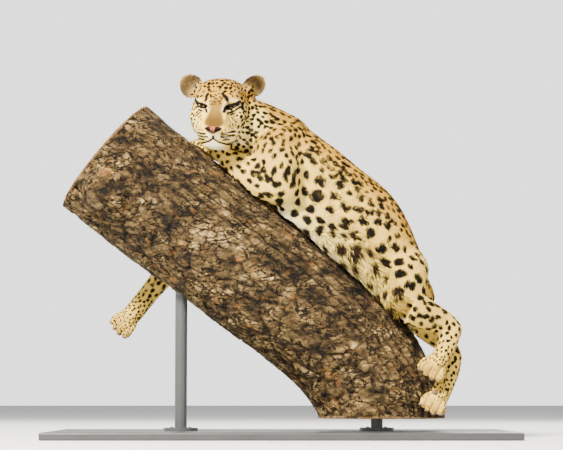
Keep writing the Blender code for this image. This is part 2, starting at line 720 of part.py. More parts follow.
def build_head(body, pieces, guides):
    """The head with its eyes, nose and ears. The fused body gives way to it."""
    head = fuse(joined("head", head_lumps(guides), pieces), HEAD_VOXEL, 5, HEAD_TRIANGLES)
    front = region("head_sleeve", head_block(), 0, guides)
    wider = as_guide(copy_of(front, "head_gap", guides, CUT_GAP))
    combine(body, wider, "DIFFERENCE")
    keep_largest(body)
    combine(head, front, "INTERSECT")
    keep_largest(head)
    solid_head = as_guide(copy_of(head, "solid_head", guides, CUT_GAP))
    made = [head]
    for name, (foot, turn, lean) in (("ear_left", LEFT_EAR), ("ear_right", RIGHT_EAR)):
        piece = ear(name, foot, turn, lean, pieces)
        combine(piece, solid_head, "DIFFERENCE")
        made.append(keep_largest(piece))
    orbit, half_sizes = ORBIT
    for side in (1, -1):
        place = (orbit[0] * side, *orbit[1:])
        hollow = ellipsoid(f"orbit_{side}", place, half_sizes, guides, head_frame())
        combine(head, as_guide(hollow), "DIFFERENCE")
    for name, side in (("eye_left", -1), ("eye_right", 1)):
        place = (EYE_CENTRE[0] * side, *EYE_CENTRE[1:])
        eye = ellipsoid(name, place, (EYE_RADIUS,) * 3, pieces, head_frame(), detail=2)
        socket = copy_of(eye, f"{name}_socket", guides, CUT_GAP)
        combine(head, as_guide(socket), "DIFFERENCE")
        made.append(eye)
    leather = as_guide(ellipsoid("nose_leather", *NOSE, guides, head_frame(), detail=2))
    made.append(take("nose", head, leather, pieces, guides))
    return made, solid_head


def head_block():
    """Two wide stations that hold the head between them, cut square across the neck behind the jaw."""
    point, normal = HEAD_CUT
    beyond = point + normal.normalized() * 0.32
    return [(*point, 0.18, 0.18), (*beyond, 0.18, 0.18)]


def build():
    empty_scene()
    pieces = new_collection("leopard_on_limb")
    guides = new_collection("guides")

    fur = material("fur", (0.72, 0.52, 0.27), 0.8)
    bare_skin = material("bare_skin", (0.42, 0.22, 0.17), 0.5)
    bark = material("bark", (0.27, 0.20, 0.14), 0.9)
    eye_glass = material("eye_glass", (0.45, 0.36, 0.12), 0.1)
    stand_paint = material("stand_paint", (0.05, 0.05, 0.055), 0.45)

    limb = build_limb(pieces, guides)
    solid_limb = as_guide(copy_of(limb, "solid_limb", guides, CUT_GAP))
    stand = build_stand(limb, pieces, guides)

    body = fuse(joined("trunk_rump", body_lumps(guides), pieces), BODY_VOXEL, 9, BODY_TRIANGLES)
    combine(body, solid_limb, "DIFFERENCE")
    keep_largest(body)
    flesh = part_the_body(body, pieces, guides)
    head_pieces, solid_head = build_head(body, pieces, guides)
    flesh += part_the_trunk(body, pieces, guides)
    for piece in flesh:
        if piece.name in ("foreleg_left_paw", "foreleg_left_forearm", "foreleg_left_upper_arm"):
            combine(piece, solid_head, "DIFFERENCE")
            keep_largest(piece)

    eyes = [piece for piece in head_pieces if piece.name.startswith("eye")]
    nose = [piece for piece in head_pieces if piece.name == "nose"]
    paint([body, *flesh, *(piece for piece in head_pieces if piece not in eyes + nose)], fur)
    paint(eyes, eye_glass)
    paint(nose, bare_skin)
    paint([limb], bark)
    paint(stand, stand_paint)


build()
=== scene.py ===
# %% [markdown]
# # A leopard along a limb
# This lesson builds the finish of a life-size leopard model. The plain solids come packed from an earlier
# step, and everything here is made around them. The animal gets one skin under its coat, the coat itself as
# many thousand small solid tufts, eyes under half-closed lids, a nose, whiskers and foot pads. The limb gets
# its bark, and the display stand its paint. All lengths are metres, with +Z up.

# %% Load the frame
import json
import math
import time

import bmesh
import bpy
import numpy as np
from mathutils import Matrix, Vector, noise
from mathutils.bvhtree import BVHTree
from mathutils.kdtree import KDTree


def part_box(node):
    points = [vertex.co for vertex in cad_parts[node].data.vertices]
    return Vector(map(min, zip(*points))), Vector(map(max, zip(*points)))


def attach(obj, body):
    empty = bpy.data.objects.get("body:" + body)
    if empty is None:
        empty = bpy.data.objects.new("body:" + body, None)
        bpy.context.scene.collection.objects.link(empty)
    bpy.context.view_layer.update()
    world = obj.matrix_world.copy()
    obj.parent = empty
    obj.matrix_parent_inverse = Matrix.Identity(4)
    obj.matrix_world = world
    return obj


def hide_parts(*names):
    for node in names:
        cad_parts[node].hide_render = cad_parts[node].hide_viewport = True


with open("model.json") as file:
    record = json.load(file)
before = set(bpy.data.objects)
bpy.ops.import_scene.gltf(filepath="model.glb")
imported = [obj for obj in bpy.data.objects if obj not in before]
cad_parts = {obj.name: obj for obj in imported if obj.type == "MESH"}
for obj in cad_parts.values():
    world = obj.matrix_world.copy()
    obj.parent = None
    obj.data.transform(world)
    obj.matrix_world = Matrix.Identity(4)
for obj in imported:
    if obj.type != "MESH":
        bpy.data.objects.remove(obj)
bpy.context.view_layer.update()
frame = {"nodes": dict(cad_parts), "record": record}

started = time.time()
nodes = frame["nodes"]
print("loaded", len(nodes), "solids")

# %% [markdown]
# ## The camera
# The photographer stood a few metres below the animal. The camera sits 5 m away and 10 cm above the floor,
# and looks slightly up. The lens is worked out from one scale: how many metres one picture column covers at
# the animal's distance. That keeps the picture's framing whatever the distance.

# %% Camera
PICTURE_COLUMNS = 563
METRES_PER_COLUMN = 0.00265
CAMERA_PLACE = Vector((0.0, -5.0, 0.1))
CAMERA_TARGET = Vector((0.0, 0.0, 0.562))
SENSOR_WIDTH = 36.0

scene = bpy.context.scene
camera = bpy.data.objects.new("camera", bpy.data.cameras.new("camera"))
scene.collection.objects.link(camera)
scene.camera = camera
camera.location = CAMERA_PLACE
sight = CAMERA_TARGET - CAMERA_PLACE
camera.rotation_euler = sight.to_track_quat("-Z", "Y").to_euler()
camera.data.sensor_width = SENSOR_WIDTH
camera.data.lens = SENSOR_WIDTH * sight.length / (PICTURE_COLUMNS * METRES_PER_COLUMN)
print("lens", round(camera.data.lens, 1), "mm")

# %% [markdown]
# ## Small helpers for materials
# Every finish is a tree of shader nodes, and what repeats on a mesh comes from a tree of geometry nodes. One
# helper adds a node with its values and its wires; a wire is named by the node it comes from and that node's
# output. The others are the few nodes that most finishes share, and one turns a screen colour into the
# linear light values that a renderer uses.

# %% Node helpers
def linear(red, green, blue):
    """A colour given as 0 to 255 screen values, as linear light."""
    screen = np.array([red, green, blue]) / 255
    return np.where(screen <= 0.04045, screen / 12.92, ((screen + 0.055) / 1.055) ** 2.4)


def screen_stops(stops):
    return [(share, linear(*screen)) for share, screen in stops]


def feed(node, sockets):
    """Sets sockets to values. A pair of a node and its output is joined by a wire instead."""
    for key, value in sockets.items():
        if isinstance(value, tuple) and isinstance(value[0], bpy.types.Node):
            node.id_data.links.new(value[0].outputs[value[1]], node.inputs[key])
        else:
            node.inputs[key].default_value = value


def add_node(near, kind, sockets=None, **settings):
    """A node in a tree, which is given itself or by one of its nodes."""
    node = near.id_data.nodes.new(kind)
    for key, value in settings.items():
        setattr(node, key, value)
    feed(node, sockets or {})
    return node


def new_material(name, sockets):
    made = bpy.data.materials.new(name)
    made.use_nodes = True
    shader = made.node_tree.nodes["Principled BSDF"]
    feed(shader, sockets)
    return made, shader


def object_place(near):
    return add_node(near, "ShaderNodeTexCoord"), "Object"


def noise_from(place, scale, detail=4.0, roughness=0.55, distortion=0.0):
    return add_node(place[0], "ShaderNodeTexNoise", {
        "Vector": place, "Scale": scale, "Detail": detail, "Roughness": roughness, "Distortion": distortion,
    }), "Fac"


def ramp_from(source, stops):
    """Turns a number into a colour, by stops between 0 and 1."""
    ramp = add_node(source[0], "ShaderNodeValToRGB", {"Fac": source})
    elements = ramp.color_ramp.elements
    while len(elements) < len(stops):
        elements.new(0.5)
    for element, (place, colour) in zip(elements, stops):
        element.position = place
        element.color = (*colour, 1)
    return ramp, "Color"


def blend(first, second, share=1.0, how="MULTIPLY"):
    sockets = {0: share, 6: first, 7: second}
    return add_node(first[0], "ShaderNodeMix", sockets, data_type="RGBA", blend_type=how), 2


def add_bump(shader, height, strength, distance):
    sockets = {"Height": height, "Strength": strength, "Distance": distance}
    feed(shader, {"Normal": (add_node(shader, "ShaderNodeBump", sockets), "Normal")})


def clouded_material(name, sockets, scale, dark, light):
    """A material whose colour drifts softly between two screen colours."""
    made, shader = new_material(name, sockets)
    place = object_place(shader)
    stops = screen_stops([(0.3, dark), (0.7, light)])
    feed(shader, {"Base Color": ramp_from(noise_from(place, scale), stops)})
    return made, shader, place


def geometry_tree(name, inputs):
    """A Geometry Nodes tree with named inputs: the tree, its entry, and the key of each input."""
    tree = bpy.data.node_groups.new(name, "GeometryNodeTree")
    keys = {}
    for label, kind in inputs.items():
        socket = tree.interface.new_socket(label, in_out="INPUT", socket_type="NodeSocket" + kind)
        keys[label] = socket.identifier
    tree.interface.new_socket("Geometry", in_out="OUTPUT", socket_type="NodeSocketGeometry")
    return tree, tree.nodes.new("NodeGroupInput"), keys


def close_tree(tree, shape, material):
    """The end of a tree: copies become real meshes and take their material."""
    real = add_node(tree, "GeometryNodeRealizeInstances", {"Geometry": shape})
    sockets = {"Geometry": (real, "Geometry"), "Material": material}
    finish = add_node(tree, "GeometryNodeSetMaterial", sockets)
    add_node(tree, "NodeGroupOutput", {"Geometry": (finish, "Geometry")})


# %% [markdown]
# ## Mesh helpers
# A mesh of a hundred thousand points is too much for a loop over its points, so the work is done on whole
# arrays of numbers: one array for the places, one for the faces. The helpers move these arrays in and out of
# Blender's meshes.

# %% Mesh helpers
def rows_of(items, key, width, kind=np.float32):
    """One list of a mesh's numbers, as rows."""
    values = np.empty(len(items) * width, kind)
    items.foreach_get(key, values)
    return values.reshape(-1, width)


def point_array(mesh):
    return rows_of(mesh.vertices, "co", 3).astype(float)


def normal_array(mesh):
    return rows_of(mesh.vertices, "normal", 3).astype(float)


def edge_array(mesh):
    return rows_of(mesh.edges, "vertices", 2, np.int32)


def triangle_array(mesh):
    mesh.calc_loop_triangles()
    return rows_of(mesh.loop_triangles, "vertices", 3, np.int32)


def set_points(mesh, places):
    mesh.vertices.foreach_set("co", places.astype(np.float32).ravel())
    mesh.update()


def mesh_from(name, builder):
    mesh = bpy.data.meshes.new(name)
    builder.to_mesh(mesh)
    builder.free()
    return mesh


def mesh_of_triangles(name, places, triangles):
    """A mesh straight from its arrays, which is far quicker than one face at a time."""
    mesh = bpy.data.meshes.new(name)
    mesh.vertices.add(len(places))
    mesh.loops.add(len(triangles) * 3)
    mesh.polygons.add(len(triangles))
    mesh.vertices.foreach_set("co", np.asarray(places, np.float32).ravel())
    mesh.loops.foreach_set("vertex_index", np.asarray(triangles, np.int32).ravel())
    mesh.polygons.foreach_set("loop_start", np.arange(0, len(triangles) * 3, 3, dtype=np.int32))
    mesh.update(calc_edges=True)
    mesh.polygons.foreach_set("use_smooth", np.full(len(triangles), True))
    return mesh


def new_object(name, mesh, material=None):
    made = bpy.data.objects.new(name, mesh)
    scene.collection.objects.link(made)
    if material:
        mesh.materials.append(material)
    return made


def settle(made):
    """Turns an object's modifiers into its mesh."""
    bpy.context.view_layer.update()
    evaluated = made.evaluated_get(bpy.context.evaluated_depsgraph_get())
    mesh = bpy.data.meshes.new_from_object(evaluated)
    made.modifiers.clear()
    made.data = mesh


def rebuild_evenly(made, grid, passes):
    """Fuses an object's mesh on a grid of cubes, then evens it out."""
    remesh = made.modifiers.new("fuse", "REMESH")
    remesh.mode = "VOXEL"
    remesh.voxel_size = grid
    soften = made.modifiers.new("soften", "SMOOTH")
    soften.factor = 0.5
    soften.iterations = passes
    settle(made)


def run_tree(made, tree, values):
    """Runs a Geometry Nodes tree on an object and keeps only the mesh that it makes."""
    modifier = made.modifiers.new("tree", "NODES")
    modifier.node_group = tree
    for key, value in values.items():
        modifier[key] = value
    settle(made)


def spread(values, edges, steps, share=0.5):
    """Evens out values over a mesh: each point moves towards the mean of its neighbours."""
    count = len(values)
    columns = values.reshape(count, -1).copy()
    joined = np.bincount(edges.ravel(), minlength=count).clip(1)
    for _ in range(steps):
        for column in range(columns.shape[1]):
            line = columns[:, column]
            total = (
                np.bincount(edges[:, 0], line[edges[:, 1]], count)
                + np.bincount(edges[:, 1], line[edges[:, 0]], count)
            )
            columns[:, column] = line * (1 - share) + total / joined * share
    return columns.reshape(values.shape)


def lengths_of(vectors):
    return np.linalg.norm(vectors, axis=1)


def unit(vectors):
    return vectors / np.linalg.norm(vectors, axis=-1, keepdims=True).clip(1e-9)


def flattened(vectors, normals):
    """Directions laid flat on a surface."""
    return unit(vectors - normals * (vectors * normals).sum(1)[:, None])


def fade(value, low, high):
    """0 below low, 1 above high, and a smooth rise between them."""
    share = ((value - low) / (high - low)).clip(0, 1)
    return share * share * (3 - 2 * share)


def tell(text):
    print(f"{text}, {time.time() - started:.0f} s")


def finish_piece(made, slot, *replaced):
    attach(made, "root")
    if replaced:
        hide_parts(*replaced)
    made.data.calc_loop_triangles()
    tell(f"{made.name}: {len(made.data.loop_triangles)} triangles")


# %% [markdown]
# ## Light and floor
# Studio light shows a coat best when one large soft lamp stands high on one side, a weaker one fills the
# other side, and a third rakes the back so that single hairs catch it. The floor is plain and pale. The sky
# is bright in a band round the horizon only, so the backdrop is pale while the shadows stay deep.

# %% Studio
FLOOR_REACH = 30.0
LAMPS = {
    # place, height of the point it faces, size, power, colour
    "key": ((-2.0, -3.0, 3.4), 0.6, 0.8, 1150, (1.0, 0.95, 0.8)),
    "fill": ((3.0, -2.6, 1.6), 0.5, 2.4, 48, (1.0, 0.95, 0.88)),
    "rim": ((1.6, 3.0, 2.8), 0.6, 1.8, 220, (1.0, 0.97, 0.92)),
    "back_fill": ((-2.6, 2.6, 1.8), 0.5, 2.4, 90, (1.0, 1.0, 1.0)),
}
for name, (place, facing_height, size, power, colour) in LAMPS.items():
    lamp = bpy.data.lights.new(name, "AREA")
    lamp.shape = "DISK"
    lamp.size = size
    lamp.energy = power
    lamp.color = colour
    holder = bpy.data.objects.new(name, lamp)
    scene.collection.objects.link(holder)
    holder.location = place
    aim = Vector((0, 0, facing_height)) - Vector(place)
    holder.rotation_euler = aim.to_track_quat("-Z", "Y").to_euler()

world = bpy.data.worlds.new("studio")
scene.world = world
world.use_nodes = True
sky = world.node_tree.nodes["Background"]
sky_place = add_node(sky, "ShaderNodeTexCoord")
sky_parts = add_node(sky, "ShaderNodeSeparateXYZ", {"Vector": (sky_place, "Generated")})
sky_height = add_node(sky, "ShaderNodeMath", {0: (sky_parts, "Z")}, operation="ABSOLUTE")
sky_glow = add_node(sky, "ShaderNodeMapRange", {
    "Value": (sky_height, 0), "From Min": 0.24, "From Max": 0.52, "To Min": 2.6, "To Max": 0.32,
})
feed(sky, {"Strength": (sky_glow, "Result"), "Color": (0.84, 0.84, 0.83, 1)})

floor_builder = bmesh.new()
bmesh.ops.create_circle(floor_builder, cap_ends=True, segments=96, radius=FLOOR_REACH)
floor_material, *_ = new_material("pale_floor", {"Roughness": 0.9, "Base Color": (0.78, 0.79, 0.8, 1)})
floor = new_object("floor", mesh_from("floor", floor_builder), floor_material)

# %% [markdown]
# ## One skin for the whole animal
# The solids part the animal where a person would name its parts. A hide has no such seams, so the solids of
# flesh are swollen by half a millimetre until they touch, fused on a fine grid, and smoothed. Fine triangles
# matter on the face and the paws only, so the trunk is thinned afterwards.

# %% Fuse the flesh
SEAM_SWELL = 0.0006
SKIN_GRID = 0.0023
SKIN_TRIANGLES = 186000

slot_of = {entry["node"]: entry["material_slot"] for entry in frame["record"]["subparts"]}
flesh = sorted(name for name, slot in slot_of.items() if slot in ("fur", "bare_skin"))


def merged_faces(names, swell=0.0):
    """The points and faces of solids, their loose triangles joined, and the solid of each face."""
    points, faces, face_owner = [], [], []
    for number, name in enumerate(names):
        made = bmesh.new()
        made.from_mesh(nodes[name].data)
        bmesh.ops.remove_doubles(made, verts=made.verts, dist=1e-5)
        made.normal_update()
        made.verts.index_update()
        offset = len(points)
        points += [corner.co + corner.normal * swell for corner in made.verts]
        faces += [[corner.index + offset for corner in face.verts] for face in made.faces]
        face_owner += [number] * len(made.faces)
        made.free()
    return points, faces, face_owner


def joined_mesh(name, points, faces):
    mesh = bpy.data.meshes.new(name)
    mesh.from_pydata(points, [], faces)
    return mesh


def tree_of(prefix):
    """A search tree over the faces of all solids whose names start like this."""
    points, faces, _ = merged_faces([name for name in nodes if name.startswith(prefix)])
    return BVHTree.FromPolygons(points, faces)


solid_points, solid_faces, face_owner = merged_faces(flesh, SEAM_SWELL)
flesh_tree = BVHTree.FromPolygons(solid_points, solid_faces)
skin = new_object("skin", joined_mesh("skin", solid_points, solid_faces))
rebuild_evenly(skin, SKIN_GRID, 4)
tell(f"fused skin: {len(skin.data.vertices)} points")

# %% [markdown]
# The fused skin still has to know which part of the animal each point belongs to, because hair length, spots
# and the lie of the coat all differ from part to part. Each point asks for the nearest face of the solids
# and takes its name. The trunk also gets a measure that runs from -1 along the belly to +1 along the spine.

# %% Parts and places
FEET = ("foreleg_left_paw", "foreleg_right_paw", "hindleg_left_foot", "hindleg_right_foot")
FINE_PARTS = ("head", "nose", "ear_left", "ear_right", *FEET)
part_number = {name: number for number, name in enumerate(flesh)}


def owners(places):
    found = np.empty(len(places), int)
    for index, place in enumerate(places):
        found[index] = face_owner[flesh_tree.find_nearest(place)[2]]
    return found


fine = np.isin(owners(point_array(skin.data)), [part_number[name] for name in FINE_PARTS])
coarse_group = skin.vertex_groups.new(name="coarse")
coarse_group.add(np.flatnonzero(~fine).tolist(), 1.0, "REPLACE")
thin = skin.modifiers.new("thin", "DECIMATE")
thin.vertex_group = "coarse"
thin.vertex_group_factor = 2.0
thin.ratio = SKIN_TRIANGLES / len(triangle_array(skin.data))
settle(skin)
skin.vertex_groups.clear()
tell(f"thinned skin: {len(skin.data.vertices)} points")

places = point_array(skin.data)
edges = edge_array(skin.data)
owner = owners(places)


def on(*names):
    """Which points belong to these parts. A name may be the start of several."""
    wanted = [number for name, number in part_number.items() if name.startswith(names)]
    return np.isin(owner, wanted)


# %% Along the trunk
SPINE_LINE = np.array([
    (-0.148, -0.08, 0.85), (-0.104, -0.026, 0.83), (-0.036, -0.016, 0.771), (0.057, -0.022, 0.696),
    (0.131, -0.022, 0.626), (0.208, -0.018, 0.56), (0.267, -0.01, 0.485), (0.314, -0.002, 0.418),
    (0.354, 0.004, 0.372),
])
SPINE_SIDE = np.array((0.66, 0.22, 0.71))      # from the middle of the trunk to the spine


def along_line(points, line):
    """For each point the nearest place on a line of straight runs, as a share of its length."""
    best = np.full(len(points), np.inf)
    share = np.zeros(len(points))
    nearest = np.zeros((len(points), 3))
    lengths = lengths_of(np.diff(line, axis=0))
    total = lengths.sum()
    for index, (start, end) in enumerate(zip(line, line[1:])):
        run = end - start
        here = ((points - start) @ run / (run @ run)).clip(0, 1)
        foot = start + here[:, None] * run
        gap = lengths_of(points - foot)
        closer = gap < best
        best[closer] = gap[closer]
        nearest[closer] = foot[closer]
        share[closer] = (lengths[:index].sum() + here[closer] * lengths[index]) / total
    return share, nearest


def spine_measure(points):
    share, foot = along_line(points, SPINE_LINE)
    return share, unit(points - foot) @ unit(SPINE_SIDE)


spine_share, dorsal = spine_measure(places)

# %% [markdown]
# ## The head's own directions
# The head is turned and tilted, so the work on the face is done in directions of its own: x to the animal's
# right, y out of the face, z up, from a point midway between the eyes. The muzzle points a little further to
# one side than the skull, and a small sideways swing takes care of that.

# %% Head frame
HEAD_ORIGIN = Vector((-0.1665, -0.125, 0.863))
HEAD_YAW = math.radians(8)
HEAD_PITCH = math.radians(10)
HEAD_ROLL = math.radians(3)
head_matrix = (
    Matrix.Translation(HEAD_ORIGIN)
    @ Matrix.Rotation(math.pi - HEAD_YAW, 4, "Z")
    @ Matrix.Rotation(-HEAD_PITCH, 4, "X")
    @ Matrix.Rotation(-HEAD_ROLL, 4, "Y")
)
head_turn = np.array(head_matrix.to_3x3())


MUZZLE_TURN = 0.0055        # how far the muzzle swings to the animal's left


def swing(out):
    """How far a place at this distance out of the face is pushed sideways."""
    return MUZZLE_TURN * np.clip(out / 0.09, 0, 1.2)


def to_head(points):
    spot = (np.asarray(points) - np.array(HEAD_ORIGIN)) @ head_turn
    spot[..., 0] += swing(spot[..., 1])
    return spot


def from_head(spots):
    spot = np.array(spots, float)
    spot[..., 0] -= swing(spot[..., 1])
    return spot @ head_turn.T + np.array(HEAD_ORIGIN)


def bulge(local, centre, reach, amount, mirrored=True):
    """How far a soft swelling moves each point, on both sides of the face if mirrored."""
    place = local.copy()
    if mirrored:
        place[:, 0] = np.abs(place[:, 0])
    away = lengths_of((place - centre) / reach)
    return amount * np.exp(-away ** 2)


def line_distance(flat_points, line):
    """The distance in a plane from each point to a line of straight runs."""
    best = np.full(len(flat_points), np.inf)
    line = np.asarray(line, float)
    for start, end in zip(line, line[1:]):
        run = end - start
        here = ((flat_points - start) @ run / max(run @ run, 1e-12)).clip(0, 1)
        best = np.minimum(best, lengths_of(flat_points - start - here[:, None] * run))
    return best


# %% [markdown]
# ## One table for all parts
# Coat and spots differ from part to part: short dense hair covers the face and paws, longer hair the trunk,
# and small dots sit on the head and feet where the flanks have large rosettes. One table holds the measures
# for every part, so that a part is changed in one line. A point near the border of two parts gets values in
# between.

# %% Table of the parts
def metres(*millimetres):
    return [round(value / 1000, 9) for value in millimetres]


PART_TABLE = {
    # coat (how deep it lies over the skin, length and width of a tuft, gap between tufts), its slope,
    # spots (half length, half width, gap, blur), blots in a rosette or 0 for a solid spot; millimetres
    "head": ((2.8, 5, 1.25, 1.85), 0.28, (5.8, 4.9, 11.6, 0.5), 0),
    "nose": ((3, 3, 0.9, 1.7), 0.2, (0, 0, 0, 0), 0),
    "ear": ((1, 3.4, 0.95, 1.7), 0.22, (4, 3.2, 12, 0.8), 0),
    "neck": ((4.2, 7.8, 1.85, 2.6), 0.26, (9, 6.9, 18.6, 0.8), 0),
    "trunk": ((4.5, 8.2, 2.1, 2.9), 0.25, (8.7, 6.4, 16.4, 0.8), 0),
    "foreleg_left_upper_arm": ((3.8, 7.2, 1.9, 2.6), 0.24, (8.6, 6.4, 16, 0.8), 0),
    "foreleg_left_forearm": ((4, 6.8, 1.85, 2.55), 0.24, (11.5, 9, 24.5, 1), 0),
    "foreleg_left_paw": ((3, 6, 1.5, 2.4), 0.28, (6.2, 5, 14.5, 1), 0),
    "foreleg_right_upper_arm": ((5, 11, 2.1, 3.1), 0.3, (8.5, 6.2, 19, 1.4), 0),
    "foreleg_right_forearm": ((4, 8.5, 1.85, 2.9), 0.3, (9, 7, 17.5, 1.4), 0),
    "foreleg_right_paw": ((3, 5.5, 1.45, 2.3), 0.28, (5.2, 4.2, 12, 0.9), 0),
    "hindleg_left_thigh": ((4.8, 9.2, 2.05, 2.85), 0.26, (12, 8.5, 25, 2), 0),
    "hindleg_left_shank": ((4, 6.8, 1.8, 2.5), 0.24, (10.4, 8, 20.5, 1), 0),
    "hindleg_left_foot": ((3, 5.5, 1.4, 2.2), 0.28, (6.8, 5.2, 14.5, 0.8), 0),
    "hindleg_right_thigh": ((6, 13, 2.1, 3.2), 0.32, (11, 8, 25, 2), 2),
    "hindleg_right_shank": ((4, 9, 1.85, 2.9), 0.3, (9, 6.8, 18, 1), 0),
    "hindleg_right_foot": ((3, 5.5, 1.45, 2.4), 0.28, (6.4, 5, 14.5, 0.8), 0),
    "tail": ((4.5, 12, 2, 2.9), 0.32, (10, 7.2, 18.5, 1.8), 0),
}
# the trunk's own spots, from the belly up to the spine: the measure along its side, spots, blots
TRUNK_BANDS = [
    (-1, (16, 12.6, 34, 2.4), 0),
    (-0.75, (16, 12.6, 34, 1.6), 0),
    (-0.5, (12.2, 9.7, 37.2, 1.1), 2),
    (-0.2, (11.2, 9, 36.2, 0.9), 2.5),
    (0.15, (8.2, 6.5, 27.5, 0.8), 2.4),
    (0.45, (7.6, 5.8, 20.5, 0.8), 1.6),
    (0.7, (8.3, 6.2, 15.6, 0.8), 0),
    (1, (7.4, 5.7, 13.3, 0.8), 0),
]
depth = np.zeros(len(places))
coat = np.zeros((len(places), 4))
plan = np.zeros((len(places), 5))
for name, (coat_row, slope, spot_row, blots) in PART_TABLE.items():
    on_part = on(name)
    hair_depth, *tuft_row = metres(*coat_row)
    depth[on_part] = hair_depth
    coat[on_part] = (*tuft_row, slope)
    plan[on_part] = (*metres(*spot_row), blots)
coat = spread(coat, edges, 10)
print(len(PART_TABLE), "rows for", len(part_number), "solids of flesh")

# %% [markdown]
# The skin lies under the coat by the coat's own depth: 4.5 mm on the trunk, about 3 mm on the face and the
# paws, and 1 mm on the ears. The depths are evened out over the mesh so that no step shows where two parts
# meet. The mouth line, the whisker pads, the hollow beside the nose and the creases between the toes are
# pressed in or raised at the same time.

# %% Sculpt the skin
MOUTH_LINE = [(0.0, -0.083), (0.007, -0.0885), (0.013, -0.092), (0.027, -0.0958), (0.04, -0.101)]
PHILTRUM = [(0.0, -0.066), (0.0, -0.083)]
# ball of each paw, toe tips, half the spread of the toes, towards the sole
PAWS = {
    "foreleg_right_paw": ((-0.414, 0.128, 0.316), (-0.442, 0.104, 0.288), (0.018, -0.012, -0.02),
                          (0.03, 0.87, -0.5)),
    "hindleg_left_foot": ((0.396, -0.136, 0.194), (0.377, -0.148, 0.164), (0.024, -0.01, -0.016),
                          (0.09, 0.9, -0.43)),
    "hindleg_right_foot": ((0.396, -0.116, 0.104), (0.38, -0.14, 0.074), (0.024, -0.01, -0.012),
                           (0.3, 0.75, -0.6)),
}

PAWS = {name: [np.array(place) for place in row] for name, row in PAWS.items()}

depth += 0.006 * on("trunk_belly", "trunk_rump") * fade(-dorsal, 0.25, 0.8)
depth = spread(depth, edges, 8)

# evens out the facets of the trunk and legs, more than the face's
rough = np.where(on("head", "nose", "ear"), 0.15, 0.8)
rough = spread(np.where(on(*FEET), 0.2, rough), edges, 3)[:, None]
places = places * (1 - rough) + spread(places, edges, 14) * rough

# the chin is drawn up a little, and the muzzle swung to its side
of_head = spread(on("head", "nose").astype(float), edges, 6)[:, None]
rigid = (places - np.array(HEAD_ORIGIN)) @ head_turn
low_chin = (-0.104 - rigid[:, 2]).clip(0) * fade(rigid[:, 1], 0.0, 0.03)
rigid[:, 2] += low_chin * 0.5
places = places * (1 - of_head) + from_head(rigid) * of_head
local = to_head(places)
face = on("head", "nose") & (local[:, 1] > -0.02)
flat = np.column_stack([np.abs(local[:, 0]), local[:, 2]])
groove = 0.0035 * np.exp(-(line_distance(flat, MOUTH_LINE) / 0.003) ** 2)
groove += 0.0025 * np.exp(-(line_distance(flat, PHILTRUM) / 0.0024) ** 2)
# whisker pads, the cheek on one side, chin, the hollow beside the nose, both cheeks
SWELLINGS = [
    ((0.019, 0.074, -0.078), 0.013, 0.0035), ((0.066, -0.01, -0.05), 0.03, 0.007, False),
    ((0.0, 0.06, -0.112), 0.015, 0.002, False), ((0.034, 0.046, -0.056), 0.014, -0.0025),
    ((0.06, -0.02, -0.06), 0.026, 0.003),
]
swell = sum(bulge(local, *swelling) for swelling in SWELLINGS)
push = np.where(face, swell - groove * (local[:, 1] > 0.03), 0.0)
for paw, (ball, tip, spread_half, sole) in PAWS.items():
    half_wide = np.linalg.norm(spread_half)
    lateral = (places - tip) @ unit(spread_half)
    ahead = (places - ball) @ (tip - ball) / ((tip - ball) @ (tip - ball))
    toes = on(paw) * fade(ahead, -0.1, 0.7)
    for side in (-0.67, 0.0, 0.67):
        push -= toes * 0.0052 * np.exp(-((lateral - side * half_wide) / 0.0032) ** 2)

set_points(skin.data, places)
normals = normal_array(skin.data)
places = places + normals * (push - depth)[:, None]
set_points(skin.data, places)

# %% [markdown]
# Where the chin rests on the forearm, and the elbow on the ribs, the fused skin runs straight across. Points
# that lie close to both of two parts that only touch are pulled in, which opens a dark crease again.

# %% Creases between parts that only touch
def crease_depth(first, second, reach, amount):
    """How far to pull in the points of the first part that lie near the second."""
    tree = tree_of(second)
    pull = np.zeros(len(places))
    for index in np.flatnonzero(on(first)):
        hit = tree.find_nearest(places[index], reach * 2.5)
        if hit[0] is not None:
            pull[index] = amount * math.exp(-(hit[3] / reach) ** 2)
    return pull


# the part pulled in, the part it touches, how far the crease reaches, how deep it goes
CREASES = [
    ("head", "foreleg_left", 0.006, 0.0045), ("foreleg_left", "head", 0.006, 0.0045),
    ("foreleg_left_upper", "trunk", 0.005, 0.002), ("hindleg_left_foot", "hindleg_right", 0.005, 0.003),
    ("hindleg_left_shank", "hindleg_right", 0.005, 0.003),
]
pull = sum(crease_depth(*crease) for crease in CREASES)
normals = normal_array(skin.data)
places = places - normals * spread(pull, edges, 2)[:, None]
set_points(skin.data, places)
normals = normal_array(skin.data)
skin.data.shade_smooth()
tell("sculpted skin")

# %% [markdown]
# ## The lie of the coat
# A cat's coat lies from the nose backwards and down each leg to the toes. Each part gets one run from its
# near end to its far end, and the head gets a fan that starts at the nose. Evening out these directions over
# the mesh makes them flow round the shoulders and haunches, and each direction is then laid flat on the
# skin.

